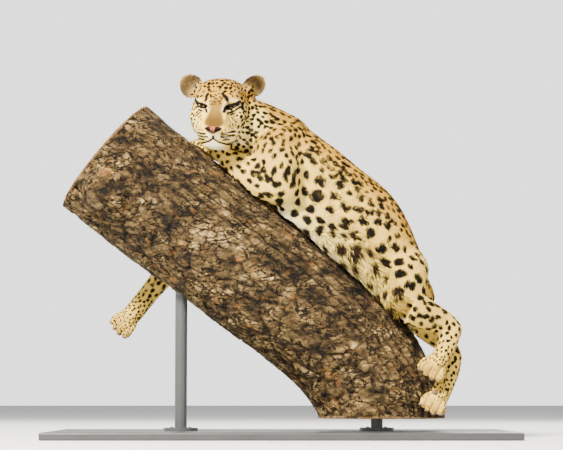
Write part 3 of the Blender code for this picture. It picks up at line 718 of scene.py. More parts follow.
# %% Directions
LIE = {
    "neck": ((-0.134, -0.05, 0.843), (0.004, -0.01, 0.772)),
    "trunk_chest": (SPINE_LINE[2], SPINE_LINE[4]),
    "trunk_belly": (SPINE_LINE[4], SPINE_LINE[6]),
    "trunk_rump": (SPINE_LINE[6], SPINE_LINE[8]),
    "foreleg_left_upper_arm": ((0.034, -0.066, 0.794), (0.008, -0.124, 0.644)),
    "foreleg_left_forearm": ((0.012, -0.124, 0.634), (-0.178, -0.046, 0.75)),
    "foreleg_left_paw": ((-0.178, -0.046, 0.75), (-0.24, 0.05, 0.76)),
    "foreleg_right_upper_arm": ((-0.104, 0.084, 0.742), (-0.206, 0.168, 0.596)),
    "foreleg_right_forearm": ((-0.206, 0.168, 0.596), (-0.368, 0.154, 0.38)),
    "foreleg_right_paw": ((-0.368, 0.154, 0.38), (-0.44, 0.106, 0.29)),
    "hindleg_left_thigh": ((0.318, -0.044, 0.452), (0.308, -0.142, 0.342)),
    "hindleg_left_shank": ((0.311, -0.142, 0.338), (0.442, -0.094, 0.288)),
    "hindleg_left_foot": ((0.444, -0.096, 0.286), (0.378, -0.146, 0.166)),
    "hindleg_right_thigh": ((0.32, 0.04, 0.442), (0.35, -0.022, 0.33)),
    "hindleg_right_shank": ((0.35, -0.03, 0.324), (0.446, -0.05, 0.222)),
    "hindleg_right_foot": ((0.448, -0.052, 0.216), (0.38, -0.138, 0.076)),
    "tail_root": ((0.346, 0.022, 0.388), (0.31, 0.182, 0.25)),
    "tail_middle": ((0.31, 0.182, 0.25), (0.086, 0.212, 0.172)),
    "tail_tip": ((0.086, 0.212, 0.172), (0.01, 0.203, 0.34)),
}
TAIL_LINE = np.array([
    (0.346, 0.022, 0.388), (0.378, 0.06, 0.362), (0.37, 0.116, 0.324), (0.334, 0.166, 0.276),
    (0.284, 0.196, 0.226), (0.224, 0.21, 0.184), (0.154, 0.214, 0.162), (0.086, 0.212, 0.172),
    (0.032, 0.208, 0.212), (0.006, 0.204, 0.268), (0.014, 0.202, 0.33),
])
EAR_FOOT = {"ear_left": (-0.066, -0.082, 0.031), "ear_right": (0.066, -0.082, 0.029)}
NOSE_TIP = np.array((0.0, 0.1, -0.066))

local = to_head(places)
flow = np.zeros_like(places)
for name, (start, end) in LIE.items():
    flow[on(name)] = unit(np.subtract(end, start))
tail = on("tail")
share, foot = along_line(places[tail], TAIL_LINE)
ahead = np.array([TAIL_LINE[min(int(s * (len(TAIL_LINE) - 1)) + 1, len(TAIL_LINE) - 1)] for s in share])
flow[tail] = unit(ahead - places[tail] + 1e-4)
head_points = on("head", "nose")
flow[head_points] = unit(local[head_points] - NOSE_TIP) @ head_turn.T
for name, foot in EAR_FOOT.items():
    flow[on(name)] = unit(places[on(name)] - from_head(foot))

flow = unit(spread(flow, edges, 24))
belly = (on("trunk_belly", "trunk_rump", "trunk_chest", "hindleg_left_thigh")
         * fade(-dorsal, 0.0, 0.7) * fade(spine_share, 0.35, 0.75))
belly = spread(belly.astype(float), edges, 10)
HANG = np.array((0.1, -0.1, -1.0))
flow = flattened(flow + belly[:, None] * HANG * 0.8, normals)

# %% [markdown]
# ## Where the coat grows longer
# A soft white fringe hangs along the belly, and the hair lengthens from the face to the back of the cheeks.
# The lengths from the table are changed there, again with smooth borders.

# %% Longer and shorter hair
FRINGE = np.array((0.033, 0.0026, 0.0034, 0.55))       # length, width, gap, slope
long_hair = fade(belly, 0.35, 0.9)[:, None]
coat = coat * (1 - long_hair) + FRINGE * long_hair
face_front = head_points & (local[:, 1] > 0.0)
low_cheek = head_points & (local[:, 1] < -0.06) & (local[:, 2] < -0.02)
coat[:, 0] *= 1 - 0.35 * spread(face_front.astype(float), edges, 6)
coat[:, 0] += 0.01 * spread(low_cheek.astype(float), edges, 8)
print("tufts", np.round(coat[:, 0].min() * 1000, 1), "to", np.round(coat[:, 0].max() * 1000, 1), "mm long")

# %% [markdown]
# ## Lids
# A resting leopard half closes its eyes, and only a slit of the eyeball shows. The fused skin has an open
# hollow there, so each eye gets a ring of lid: it starts at the slit, rides over the eyeball, and runs out
# onto the brow and the cheek. The ring is a closed solid, a little over a millimetre thick, and becomes part
# of the skin.

# %% Lids
EYE_RADIUS = 0.0135
EYE_SET = np.array((0.04, -0.006, 0.0))      # the middle of the animal's right eye
LID_STEPS = 72
LID_TURNS = np.arange(LID_STEPS) / LID_STEPS * math.tau
LID_RINGS = 12
LID_THICKNESS = 0.0013
# side, middle of the slit, half length, rise of the upper lid, drop of the lower one, slant
SLITS = {
    "right": (1, (0.042, -0.0012), 0.0142, 0.0016, 0.003, math.radians(14)),
    "left": (-1, (0.04, -0.002), 0.0144, 0.0004, 0.003, math.radians(17)),
}
LID_REACH = (0.0235, 0.0175)
LID_COAT = (0.004, 0.0011, 0.0016, 0.26)       # length, width, gap, slope


def skin_tree(triangles):
    return BVHTree.FromPolygons([Vector(place) for place in places], triangles.tolist())


def face_hit(tree, x, z):
    """The place and the normal of the skin at a place on the face, in three tries because of the swing."""
    out = 0.0
    for _ in range(3):
        start = Vector(from_head((x, out, z)) + head_turn @ (0, 0.15, 0))
        hit = tree.ray_cast(start, Vector(head_turn @ (0, -1, 0)), 0.35)
        if hit[0] is None:
            return None, None
        out = to_head(hit[0])[1]
    return np.array(hit[0]), np.array(hit[1])


def face_depth(tree, x, z):
    place, _ = face_hit(tree, x, z)
    return 0.0 if place is None else to_head(place)[1]


def slit_edge(side, middle, half, rise, drop, slant):
    """The lids' free edge, seen from the front."""
    along = half * np.cos(LID_TURNS)
    arch = np.sin(LID_TURNS)
    across = np.where(arch > 0, rise, drop) * np.sign(arch) * np.abs(arch) ** 1.3
    outward = along * math.cos(slant) - across * math.sin(slant)
    up = along * math.sin(slant) + across * math.cos(slant)
    return np.column_stack([side * (middle[0] + outward), middle[1] + up])


def lid_ring(tree, side, *shape):
    edge = slit_edge(side, *shape)
    centre = EYE_SET * (side, 1, 1)
    rim = np.column_stack([
        centre[0] + side * LID_REACH[0] * np.cos(LID_TURNS), centre[2] + LID_REACH[1] * np.sin(LID_TURNS),
    ])
    rim_depth = np.array([face_depth(tree, x, z) for x, z in rim]) - 0.0008

    def ring(share, radius, sink):
        flat_place = edge * (1 - share) + rim * share
        off = np.hypot(flat_place[:, 0] - centre[0], flat_place[:, 1] - centre[2])
        dome = centre[1] + radius * (1 - 0.5 * (off / radius) ** 2)
        weight = share ** 1.5 * (3 - 2 * share ** 1.5) if share < 1 else 1.0
        ball = centre[1] + np.sqrt((radius ** 2 - off ** 2).clip(0)) - 0.03 * (off > radius)
        depth = np.maximum(dome * (1 - weight) + rim_depth * weight, ball)
        return np.column_stack([flat_place[:, 0], depth - sink, flat_place[:, 1]])

    outer = EYE_RADIUS + LID_THICKNESS
    shares = np.linspace(0, 1, LID_RINGS) ** 1.2
    rings = [ring(0.0, EYE_RADIUS + LID_THICKNESS * 0.5, 0.0)]
    for share in shares:
        swelling = 0.0006 * math.sin(min(share * 3, 1) * math.pi)
        rings.append(ring(0.03 + 0.97 * share, outer + swelling, 0.0))
    rings += [ring(share, outer, LID_THICKNESS * 0.9 + 0.002 * share) for share in shares[::-1]]
    near = np.arange(len(rings) * LID_STEPS).reshape(-1, LID_STEPS)
    far = np.roll(near, -1, axis=0)
    quads = np.stack([near, np.roll(near, -1, axis=1), np.roll(far, -1, axis=1), far], axis=-1)
    quads = quads.reshape(-1, 4)[:, ::side]
    return from_head(np.concatenate(rings)), quads[:, [0, 1, 2, 0, 2, 3]].reshape(-1, 3)


skin_triangles = triangle_array(skin.data)
tree = skin_tree(skin_triangles)
is_lid = np.zeros(len(places), bool)
lid_front = np.zeros(len(places), bool)


def longer(values, extra, count):
    """Values of the skin's points, with the same extra row for each new point."""
    return np.concatenate([values, np.full((count, *values.shape[1:]), extra)])


for shape in SLITS.values():
    ring_places, ring_faces = lid_ring(tree, *shape)
    skin_triangles = np.concatenate([skin_triangles, ring_faces + len(places)])
    places = np.concatenate([places, ring_places])
    count = len(ring_places)
    front = np.arange(count) < LID_STEPS * (LID_RINGS + 1)
    is_lid = longer(is_lid, True, count)
    lid_front = np.concatenate([lid_front, front])
    owner = longer(owner, part_number["head"], count)
    coat = longer(coat, LID_COAT, count)
    plan = longer(plan, metres(*PART_TABLE["head"][2]) + [0], count)
    dorsal, spine_share, belly = (longer(values, 0.0, count) for values in (dorsal, spine_share, belly))
    flow = np.concatenate([flow, unit(to_head(ring_places) - NOSE_TIP) @ head_turn.T])

old = skin.data
skin.data = mesh_of_triangles("skin", places, skin_triangles)
bpy.data.meshes.remove(old)
places = point_array(skin.data)
normals = normal_array(skin.data)
edges = edge_array(skin.data)
local = to_head(places)
flow = flattened(flow, normals)
head_points = on("head", "nose")
print("skin with lids:", len(skin_triangles), "triangles")

# %% [markdown]
# ## The ground colour
# Under its spots a leopard is golden along the back, cream on the flanks and legs, and white on the belly,
# chin and around the eyes. The bridge of the nose darkens to ochre towards its tip. Each patch is a soft
# ellipse or band in directions that the animal itself gives, so it holds from every side.

# %% Ground colour
GOLD = linear(190, 138, 38)
TAWNY = linear(200, 150, 48)
CREAM = linear(242, 204, 98)
PALE = linear(248, 220, 126)
WHITE = linear(246, 232, 196)
OCHRE = linear(72, 50, 14)
TAN = linear(150, 110, 46)
BRIDGE_TAN = linear(118, 82, 26)
AMBER = linear(156, 104, 28)
EAR_RIM = linear(196, 158, 84)
EAR_FUR = linear(146, 120, 68)
SPOT = linear(15, 9, 7)
FADED_SPOT = linear(44, 28, 18)
# painted shade for the hollow inside the ears
EAR_HOLLOW_SHADE = linear(76, 60, 36)


def mixed(first, second, share):
    return first * (1 - share[:, None]) + second * share[:, None]


def patch(x, z, middle, half):
    """1 in an ellipse on the face, fading to 0 outside it."""
    away = np.hypot((x - middle[0]) / half[0], (z - middle[1]) / half[1])
    return 1 - fade(away, 0.75, 1.25)


def painted(ground, *layers):
    """Colours over a ground. Each layer is a colour and how much of it every point takes."""
    for tint, share in layers:
        ground = mixed(ground, tint, share)
    return ground


torso = on("trunk", "neck")
colour = painted(
    CREAM, (TAWNY, fade(dorsal, -0.1, 0.85)), (PALE, fade(-dorsal, 0.4, 0.8) * torso),
    (WHITE, fade(-dorsal, 0.8, 0.97) * torso),
)
colour[on("foreleg", "hindleg")] = CREAM
shoulders = on("foreleg_left_upper", "foreleg_right_upper") * fade(places[:, 2], 0.7, 0.8)
toe_tan = np.zeros(len(places))
for paw, (ball, tip, spread_half, sole) in PAWS.items():
    gap = lengths_of(places - tip)
    toe_tan += on(paw) * (1 - fade(gap, 0.012, 0.045)) * 0.45
colour = painted(
    colour, (GOLD, 0.75 * shoulders), (TAN, toe_tan),
    (GOLD, on("tail") * fade(normals[:, 2], -0.3, 0.5) * 0.8),
    (WHITE, on("tail") * fade(-normals[:, 2], -0.1, 0.6)),
)
print("coloured the body of", len(places), "points")

# %% [markdown]
# The face is painted the same way: a tan bridge that darkens to ochre above the nose, cream bars round the
# eyes, and white lips and chin. Its measures are metres on the head, taken on both sides at once.

# %% Colours of the face
# cream bars round the eyes, in millimetres on the head, with half their width
PALE_LINES = [
    ([(58.5, 2.5), (51.5, -5.4), (42.9, -10.8), (26.9, -12.8)], 2.4),
    ([(26.9, 5.6), (23.5, -4.0), (19.3, -12.2)], 2.6),
    ([(55.8, 14.4), (48.9, 12.2), (41.6, 10.9)], 2.6),
    ([(-24.7, 6.6), (-20.2, -4.5), (-17.1, -11.1)], 3.0),
    ([(-28.0, -13.3), (-35.7, -11.9), (-45.8, -7.1), (-57.5, 1.4)], 2.3),
    ([(-32.5, 11.7), (-39.9, 13.4), (-50.6, 15.2), (-55.0, 17.2)], 2.0),
]
x, y, z = np.abs(local[:, 0]), local[:, 1], local[:, 2]
front = fade(y, -0.03, 0.0)
# the bridge widens from the brows to the nose and ends in a rounded edge
BRIDGE_HEIGHTS = (-0.056, -0.052, -0.046, -0.04, -0.018, 0.01)
BRIDGE_HALVES = (0.005, 0.019, 0.0255, 0.0255, 0.017, 0.015)
bridge_half = np.interp(z, BRIDGE_HEIGHTS, BRIDGE_HALVES)
bridge = 1 - fade(x, bridge_half - 0.004, bridge_half + 0.004)
bridge *= fade(-z, -0.034, -0.006) * fade(z, -0.056, -0.052) * front
low_bridge = fade(-z, 0.004, 0.042) * (0.8 - 0.3 * fade(x, 0.01, 0.024))
muzzle = fade(-z, 0.06, 0.072) * fade(y, 0.025, 0.05)
lip_line = np.interp(x, *np.transpose(MOUTH_LINE))
chin = fade(lip_line - z, -0.001, 0.003) * (1 - fade(x, 0.018, 0.027)) * front * 0.9
lip_white = patch(x, z, (0.011, -0.078), (0.009, 0.009)) * front * 0.7
head_colour = painted(
    CREAM, (TAWNY, fade(z, -0.02, 0.03)),
    (PALE, fade(x, 0.04, 0.06) * fade(-z, 0.0, 0.05)),
    (BRIDGE_TAN, bridge * 0.9), (OCHRE, bridge * low_bridge), (PALE, muzzle * 0.4),
    # a tan patch on each whisker pad: painted shade on the sides of the muzzle
    (TAWNY, patch(x, z, (0.036, -0.068), (0.014, 0.016)) * front * 0.5),
    (WHITE, np.maximum(chin, lip_white)),
)
for line, half in PALE_LINES:
    gap = line_distance(local[:, [0, 2]], np.array(line) / 1000)
    bar = 1 - fade(gap * 1000, half * 0.6, half * 1.7)
    head_colour = mixed(head_colour, WHITE, bar * front * 0.5)
colour = np.where(on("head", "nose")[:, None], head_colour, colour)
colour = spread(colour, edges, 2)

# %% [markdown]
# A leopard's ear is black behind with a pale patch. Inside its rim, the hollow is painted darker as painted
# shade. A little noise breaks up the edge of the dark, as single hairs would.

# %% Colours of the ears
for name, foot in EAR_FOOT.items():
    ear_local = local - np.array(foot)
    inside = on(name) & ((normals @ head_turn)[:, 1] > 0.1)
    radius = lengths_of(ear_local)
    streak = np.array([noise.noise(Vector(spot) * 160) for spot in ear_local[on(name)]])
    colour[on(name)] = EAR_RIM
    # painted shade in the ear's hollow, strongest partway out from the ear's foot
    deep = np.exp(-((radius - 0.04) / 0.014) ** 2)
    deep[on(name)] = (deep[on(name)] + 0.35 * streak).clip(0, 1)
    colour[inside] = mixed(EAR_FUR, EAR_HOLLOW_SHADE, deep[inside])
    rim = fade(radius[inside], 0.05, 0.06)
    colour[inside] = mixed(colour[inside], EAR_RIM, rim)
    behind = on(name) & ~inside
    band = 1 - fade(np.abs(radius[behind] - 0.036), 0.014, 0.02)
    colour[behind] = mixed(GOLD, SPOT, band * 0.9)

# %% [markdown]
# ## Spots
# A leopard's spots follow a plan that the whole species shares. Small solid dots cover the head, the feet
# and the spine. The flanks have rosettes, which are two to four blots round a darker gold middle, and they
# grow from the back towards the belly. Below them, and on the legs, the blots are large and solid. First
# every point of the skin learns what kind of spot it would carry.

# %% Plan of the spots
ROSETTE_FROM = 0.3         # share along the spine where the shoulder's solid spots turn into rosettes

band_at = [measure for measure, _, _ in TRUNK_BANDS]
bands = np.array([(*metres(*spot_row), blots) for _, spot_row, blots in TRUNK_BANDS])
by_side = np.column_stack([np.interp(dorsal, band_at, column) for column in bands.T])
rear = (fade(spine_share, ROSETTE_FROM - 0.12, ROSETTE_FROM + 0.08) * on("trunk"))[:, None]
plan = plan * (1 - rear) + by_side * rear
haunch = on("hindleg_left_thigh")
plan[haunch] = by_side[haunch]
plan[:, :4] = spread(plan[:, :4], edges, 6)
low_arm = on("foreleg_left_upper_arm") * (1 - fade(places[:, 2], 0.66, 0.73))
plan[:, :3] *= 1 + 0.45 * spread(low_arm.astype(float), edges, 6)[:, None]
# spots shrink along these parts, from the first share to the second
SHRINK = {
    "foreleg_left_forearm": (1.0, 0.6), "foreleg_right_forearm": (1.1, 0.8),
    "hindleg_left_foot": (1.15, 0.34), "hindleg_right_foot": (1.15, 0.34),
    "hindleg_left_shank": (1.0, 0.8), "foreleg_right_paw": (1.0, 0.6),
}
for name, shares_here in SHRINK.items():
    start, end = np.array(LIE[name])
    run = ((places - start) @ (end - start) / ((end - start) @ (end - start))).clip(0, 1)
    plan[:, :3] *= np.where(on(name), np.interp(run, (0, 1), shares_here), 1.0)[:, None]

# %% [markdown]
# The dots and lines that make the face's expression are placed one by one, in millimetres on the head, and
# the darts keep clear of them.

# %% The face's own marks
# for each group how much longer and wider its marks are made, so that the hairs over them leave them dark,
# then the marks in millimetres: x to the animal's right, height, half length, half width, tilt in degrees
FACE_MARKS = {
    "brow arcs": (1.1, 1.9, [
        (27.6, 25.3, 7.8, 2.8, -72), (29.3, 15.1, 7, 2.3, 89), (-22.9, 20.4, 11.6, 3.5, 69),
        (17.2, 23.6, 6.9, 1.8, 80), (4.1, 26.9, 4.6, 1.4, 39), (-3.9, 30.6, 3.6, 1.3, -14),
        (-7.5, 21.8, 4, 1.3, -75), (-11.8, 16.8, 5.3, 1.1, -70),
    ]),
    "forehead": (1.15, 1.5, [
        (19.5, 63, 3.8, 3.1, 20), (17, 56, 4, 3.2, 30), (6.5, 57.5, 3.5, 3.2, 0), (-9, 53, 3.5, 3, 0),
        (-19.5, 45.5, 5, 3.8, -20), (-18.5, 36.5, 4.4, 3.2, -40), (26.5, 46.5, 5.4, 2.9, 30),
        (24, 39, 5, 3, 35), (18.5, 34.5, 2.8, 2.2, 40), (12, 36, 2.4, 2, 60), (13, 48, 2.6, 2.1, 0),
        (4.7, 48.5, 2.4, 2, 0), (-37, 61.5, 4.2, 3.1, -30), (-41, 50, 3.8, 2.8, -30),
        (-32, 53, 4, 2.4, -50), (-23.5, 54.5, 4.2, 2.4, -50), (42.5, 23.5, 4.8, 2.4, -10),
        (-35.5, 36.5, 4.6, 2.8, -20), (-43, 41, 3.2, 2.3, -30), (40, 34, 3.3, 2.2, 30),
        (5, 36, 2.2, 1.8, 0), (-4.5, 40, 2.2, 1.9, 0), (-33.7, 30.1, 5, 2, 29),
        (-49.8, 26.3, 4.5, 1.9, 29), (-40.7, 24.3, 4.2, 1.4, 19),
    ]),
    "between the brows": (1.0, 2.4, [
        (16.3, 10.6, 4.8, 1.1, -15), (5.7, 9.4, 4.5, 1.1, 12), (-5.8, 11, 5.9, 1.1, 34),
        (12.4, 3.4, 5.2, 1, 19), (2, 3.6, 3, 1, 26), (3.4, 17, 5.1, 1.1, -9), (9.8, 22.1, 3.9, 1.1, 44),
        (-10.1, 4.9, 3, 0.9, -20),
    ]),
    "right cheek": (1.1, 2.3, [
        (55.5, -6.5, 6.6, 1.4, 31), (42.9, -13.9, 8.9, 1.2, 23), (52.8, -19.7, 7.6, 1.2, -30),
        (49.2, -24.7, 10, 1.4, -26), (44.3, -30.8, 7.4, 1.4, -33), (38.9, -36.2, 5.4, 1.3, -45),
        (58.1, -38.7, 3, 2.6, 88), (48, -45, 4.5, 1.4, 32), (51.6, -55.8, 6.3, 1.6, 6),
        (33.2, -38.9, 3.6, 0.9, -53), (61, -13, 3.2, 2.2, 60), (61, -48, 3.6, 2.4, 60),
        (61, -28, 3.6, 2, 70),
    ]),
    "left cheek": (1.1, 1.8, [
        (-36.7, -16.9, 6.7, 1.3, -36), (-42.2, -21.5, 9.8, 1.3, -31), (-30.9, -21.9, 2.9, 0.9, -16),
        (-42.3, -31.1, 4.3, 1.6, 43), (-46.1, -27.1, 2.2, 2.1, 0), (-53.3, -24.4, 4, 1.8, -41),
        (-60.3, -17.1, 2.8, 2.4, 85), (-58.3, -2, 2.9, 1.9, 79), (-47, -36.2, 2.5, 2.2, 74),
        (-51.4, -41.2, 3.2, 2.1, 71), (-38.5, -39.5, 3.8, 1.5, 34), (-35.1, -32.4, 2.7, 1.4, 30),
        (-44.5, -47.7, 4.1, 1.9, 60), (-38.2, -49, 3.3, 1.5, 48), (-50.7, -49.4, 2.4, 2, 65),
        (-69.1, -13.8, 3.8, 3.4, -89), (-71.5, -28.6, 5.9, 3.2, -84), (-66.1, -45.2, 6, 4.4, 84),
        (-56, -55, 6.4, 3.3, 54), (-74.2, -40.6, 2.9, 2.6, 83), (-70.9, 5.1, 3.6, 2.8, 75),
        (-65.8, 21.6, 3.2, 2.6, 69), (-56.9, 31.7, 3.4, 2.2, 54),
    ]),
    "whisker dots": (1.1, 1.8, [
        (-39.9, -52.4, 3.6, 1.5, -17), (-30.5, -60.8, 2.6, 1.9, -12), (-38.1, -60.4, 2.2, 2, -14),
        (-44.9, -58.9, 2.8, 2, -40), (36.8, -61.8, 4.2, 1.4, 2), (28.9, -63.3, 3, 1.2, 14),
    ]),
}
# dark lines on the face: their places in millimetres, then half their width
FACE_LINES = [
    ([(60.9, 10.4), (52.8, 4.9), (47.8, 3.1), (40.0, 2.2), (31.3, -1.4)], 1.9),
    ([(53.0, 0.9), (49.7, -4.5), (42.8, -7.4), (31.2, -7.5)], 1.0),
    ([(31.3, -1.4), (27.0, -6.9), (22.8, -17.0)], 1.2),
    ([(-22.6, -14.2), (-23.4, -7.3), (-26.0, -2.3), (-33.7, 1.6), (-50.1, 5.8), (-56.5, 10.0)], 2.0),
    ([(-23.8, -6.3), (-29.8, -9.2), (-36.9, -8.9), (-44.7, -4.3), (-55.3, 3.3)], 1.0),
    ([(-62.0, 6.0), (-64.4, -1.5), (-65.5, -8.5)], 1.3),
    ([(-31.0, -18.8), (-40.7, -16.5), (-47.4, -11.6), (-60.0, -2.5)], 1.1),
    ([(-17.9, -69.4), (-32.0, -69.8), (-47.7, -66.0)], 1.5),
    ([(-21.8, -77.8), (-33.6, -78.2), (-45.3, -76.0)], 1.7),
    ([(-27.0, -86.3), (-38.2, -85.6)], 1.4),
    ([(41.3, -69.2), (30.4, -71.9), (20.3, -71.7)], 1.3),
    ([(40.5, -76.8), (24.5, -79.8), (14.4, -79.0)], 1.2),
    ([(38.1, -84.7), (24.7, -86.9)], 1.1),
    ([(0.0, -68.0), (0.0, -83.0)], 1.4),
]
# the mouth's dark corners: partly the black lip, partly painted shade where the cheek meets the forearm
MOUTH_CORNER_DARK_AND_SHADE = ((43.0, -97.0), (9.0, 5.5))      # the dark corner of the mouth: middle, half sizes

# %% [markdown]
# Every spot is kept as a flat mark: a place, the skin's normal there, a long axis and two half lengths. The
# face's own marks are found by a ray from the front, and the skin round them is closed to the darts.

# %% Place the face's marks
MILLIMETRE = 0.001


marks = []      # place, normal, long axis, half sizes, blur, and two turns that make the edge uneven
glows = []      # the golden middles of the rosettes: place and reach
dice = np.random.default_rng(11)


def add_mark(place, normal, along, half, blur):
    along = along - normal * (along @ normal)
    along = along / max(np.linalg.norm(along), 1e-9)
    marks.append((place, normal, along, half, blur, dice.random(2) * math.tau))


def point_finder(points):
    """A tree that finds the points near a place."""
    finder = KDTree(len(points))
    for index, place in enumerate(points):
        finder.insert(place, index)
    finder.balance()
    return finder


blocked = np.zeros(len(places), bool)
point_tree = point_finder(places)
skin_rays = skin_tree(skin_triangles)
for long_growth, short_growth, marks_here in FACE_MARKS.values():
    for across, height, long_half, short_half, tilt in marks_here:
        place, normal = face_hit(skin_rays, across * MILLIMETRE, height * MILLIMETRE)
        if place is None:
            continue
        tilt = math.radians(tilt)
        along = head_turn @ np.array((math.cos(tilt), 0, math.sin(tilt)))
        half = np.array((long_half * long_growth, max(short_half * short_growth, 2.5))) * MILLIMETRE
        add_mark(place, normal, along, half, 0.0005)
        for _, index, _ in point_tree.find_range(place, 0.0064 + long_half * 0.7 * MILLIMETRE):
            blocked[index] = True
print(len(marks), "marks on the face")

# %% [markdown]
# The other spots come from throwing darts on the skin. A dart counts only if no earlier spot lies closer
# than the gap for that part, which spaces the spots evenly. On the trunk the darts sweep from the spine
# down, and so the spots lie in loose rows along the body.

# %% Throw the darts
# no darts on the muzzle, the bridge, the lids, the chin or the toes
toe_of = {
    "foreleg_left_paw": (-0.236, 0.046, 0.762), "foreleg_right_paw": (-0.43, 0.112, 0.3),
    "hindleg_left_foot": (0.383, -0.144, 0.172), "hindleg_right_foot": (0.384, -0.136, 0.082),
}
blocked |= is_lid | on("nose", "ear")
in_front = head_points & (y > -0.014)
for half_wide, low, high in ((0.03, -1.0, 0.03), (0.06, -1.0, -0.05), (0.064, -0.05, 0.018)):
    blocked |= in_front & (x < half_wide) & (z > low) & (z < high)
for name, place in toe_of.items():
    reach = 0.032 if "hind" in name else 0.018
    blocked |= on(name) & (lengths_of(places - place) < reach)
sweep = (1 - dorsal) / 2 + dice.random(len(places)) * 0.05
turn_order = np.where(on("trunk", "neck"), sweep, dice.random(len(places)))
for index in np.argsort(turn_order):
    if blocked[index]:
        continue
    long_half, short_half, gap, blur, blots = plan[index]
    for _, near, _ in point_tree.find_range(places[index], gap * dice.uniform(0.92, 1.04)):
        blocked[near] = True
    place, normal = places[index], normals[index]
    size = dice.uniform(0.84, 1.18)
    lean = dice.normal(0, 0.35)
    along = flow[index] * math.cos(lean) + np.cross(normal, flow[index]) * math.sin(lean)
    if blots < 1.2 or dice.random() < 0.12:
        add_mark(place, normal, along, np.array((long_half, short_half)) * size, blur)
        if dice.random() < 0.14 and long_half > 0.004:
            aside = np.cross(normal, along)
            shift = along * dice.uniform(0.6, 1.1) + aside * dice.uniform(-0.8, 0.8)
            small = np.array((long_half, short_half)) * size * 0.75
            add_mark(place + shift * long_half, normal, along, small, blur)
        continue
    ring = gap * 0.205 * size
    count = max(2, int(round(blots + dice.uniform(-0.6, 0.8))))
    turn = dice.random() * math.tau
    across = np.cross(normal, along)
    for step in range(count):
        angle = turn + (step + dice.uniform(-0.14, 0.14)) * math.tau / count
        outward = along * math.cos(angle) * 1.15 + across * math.sin(angle) * 0.85
        sideways = along * (0.35 - math.sin(angle)) + across * math.cos(angle)
        grow = dice.uniform(0.85, 1.2)
        half = np.array((long_half * (1.2 if count == 2 else 1.0), short_half)) * grow
        add_mark(place + outward * ring, normal, sideways, half, blur)
    glows.append((place, ring * 1.15))
tell(f"{len(marks)} spots, {len(glows)} rosettes")


# %% Evaluate the marks anywhere
def darkness_at(points, facing):
    """How dark the spots are at any points, and how strong the golden middles are."""
    near_tree = point_finder(points)
    dark = np.zeros(len(points))
    glow = np.zeros(len(points))
    for centre, normal, along, half, blur, phase in marks:
        found = [entry[1] for entry in near_tree.find_range(centre, half[0] * 1.25 + blur * 2)]
        if not found:
            continue
        found = np.array(found)
        away = points[found] - centre
        first = away @ along
        second = away @ np.cross(normal, along)
        turn = np.arctan2(second, first)
        wobble = 1 + 0.11 * np.sin(2 * turn + phase[0]) + 0.08 * np.sin(3 * turn + phase[1])
        out = np.hypot(first / half[0], second / half[1]) / wobble
        edge = blur / half[1]
        amount = (1 - fade(out, 1 - edge, 1 + edge)) * (facing[found] @ normal > 0.2)
        dark[found] = np.maximum(dark[found], amount)
    for centre, reach in glows:
        found = np.array([entry[1] for entry in near_tree.find_range(centre, reach * 1.3)], int)
        out = lengths_of(points[found] - centre) / reach
        glow[found] = np.maximum(glow[found], 1 - fade(out, 0.6, 1.3))
    return dark, glow


def face_lines_at(points):
    """The dark lines and rims on the face, and the dark mouth corners (partly black lip, partly painted
    shade), at any points of the head.
    """
    spot = to_head(points) / MILLIMETRE
    dark = np.zeros(len(points))
    for line, half in FACE_LINES:
        gap = line_distance(spot[:, [0, 2]], line)
        dark = np.maximum(dark, 1 - fade(gap, half * 1.7, half * 2.8))
    flat_place = np.column_stack([np.abs(spot[:, 0]), spot[:, 2]])
    # both mouth corners: darkened as black lip and as painted shade between the cheek and the forearm
    middle, half = MOUTH_CORNER_DARK_AND_SHADE
    corner = patch(flat_place[:, 0], flat_place[:, 1], middle, half)
    mouth = line_distance(flat_place, np.array(MOUTH_LINE) / MILLIMETRE)
    dark = np.maximum(dark, corner * 0.85)
    dark = np.maximum(dark, 1 - fade(mouth, 1.9, 3.3))
    return dark * (spot[:, 1] > -20)


def lid_rims_and_shade_at(points):
    """Black along the free edges of the lids, widened above the slit by painted shade under the brow."""
    spot = to_head(points)
    dark = np.zeros(len(points))
    for side, *shape in SLITS.values():
        edge = slit_edge(side, *shape)
        edge = np.concatenate([edge, edge[:1]])
        away = line_distance(spot[:, [0, 2]], edge)
        upper = spot[:, 2] > np.interp(spot[:, 0] * side, np.sort(edge[:, 0] * side), np.sort(edge[:, 1]))
        # above the slit the black reaches further: the black rim, plus painted shade cast by the brow
        reach = np.where(upper, 0.0046, 0.0018)
        band = 1 - fade(away, reach * 0.7, reach * 1.4)
        dark = np.maximum(dark, band * (spot[:, 0] * side > 0))
    return dark * (spot[:, 1] > -0.02)


def coat_colour(points, facing, ground, on_head, faded):
    """The finished colour of skin or hair: ground, golden middles, then everything dark, including the painted
    shade at the lids and the mouth corners.
    """
    dark, glow = darkness_at(points, facing)
    made = mixed(ground, AMBER, glow * 0.8)
    extra = np.zeros(len(points))
    extra[on_head] = np.maximum(face_lines_at(points[on_head]), lid_rims_and_shade_at(points[on_head]))
    spot_colour = mixed(SPOT, FADED_SPOT, faded)
    return mixed(made, spot_colour, np.maximum(dark, extra))


faded = fade(coat[:, 0], 0.014, 0.03)
skin_colour = coat_colour(places, normals, colour, on("head"), faded)
tell("marked skin")

# %% [markdown]
# ## Skin and hair materials
# Skin and hair read their colour from the points of the mesh, so both carry the same markings from every
# side. Hair is matt, with a faint sheen where light rakes it. The skin shows only between the tufts, so it
# gets a bump as fine as short hair, drawn out along no axis, which passes for fluff at this size.

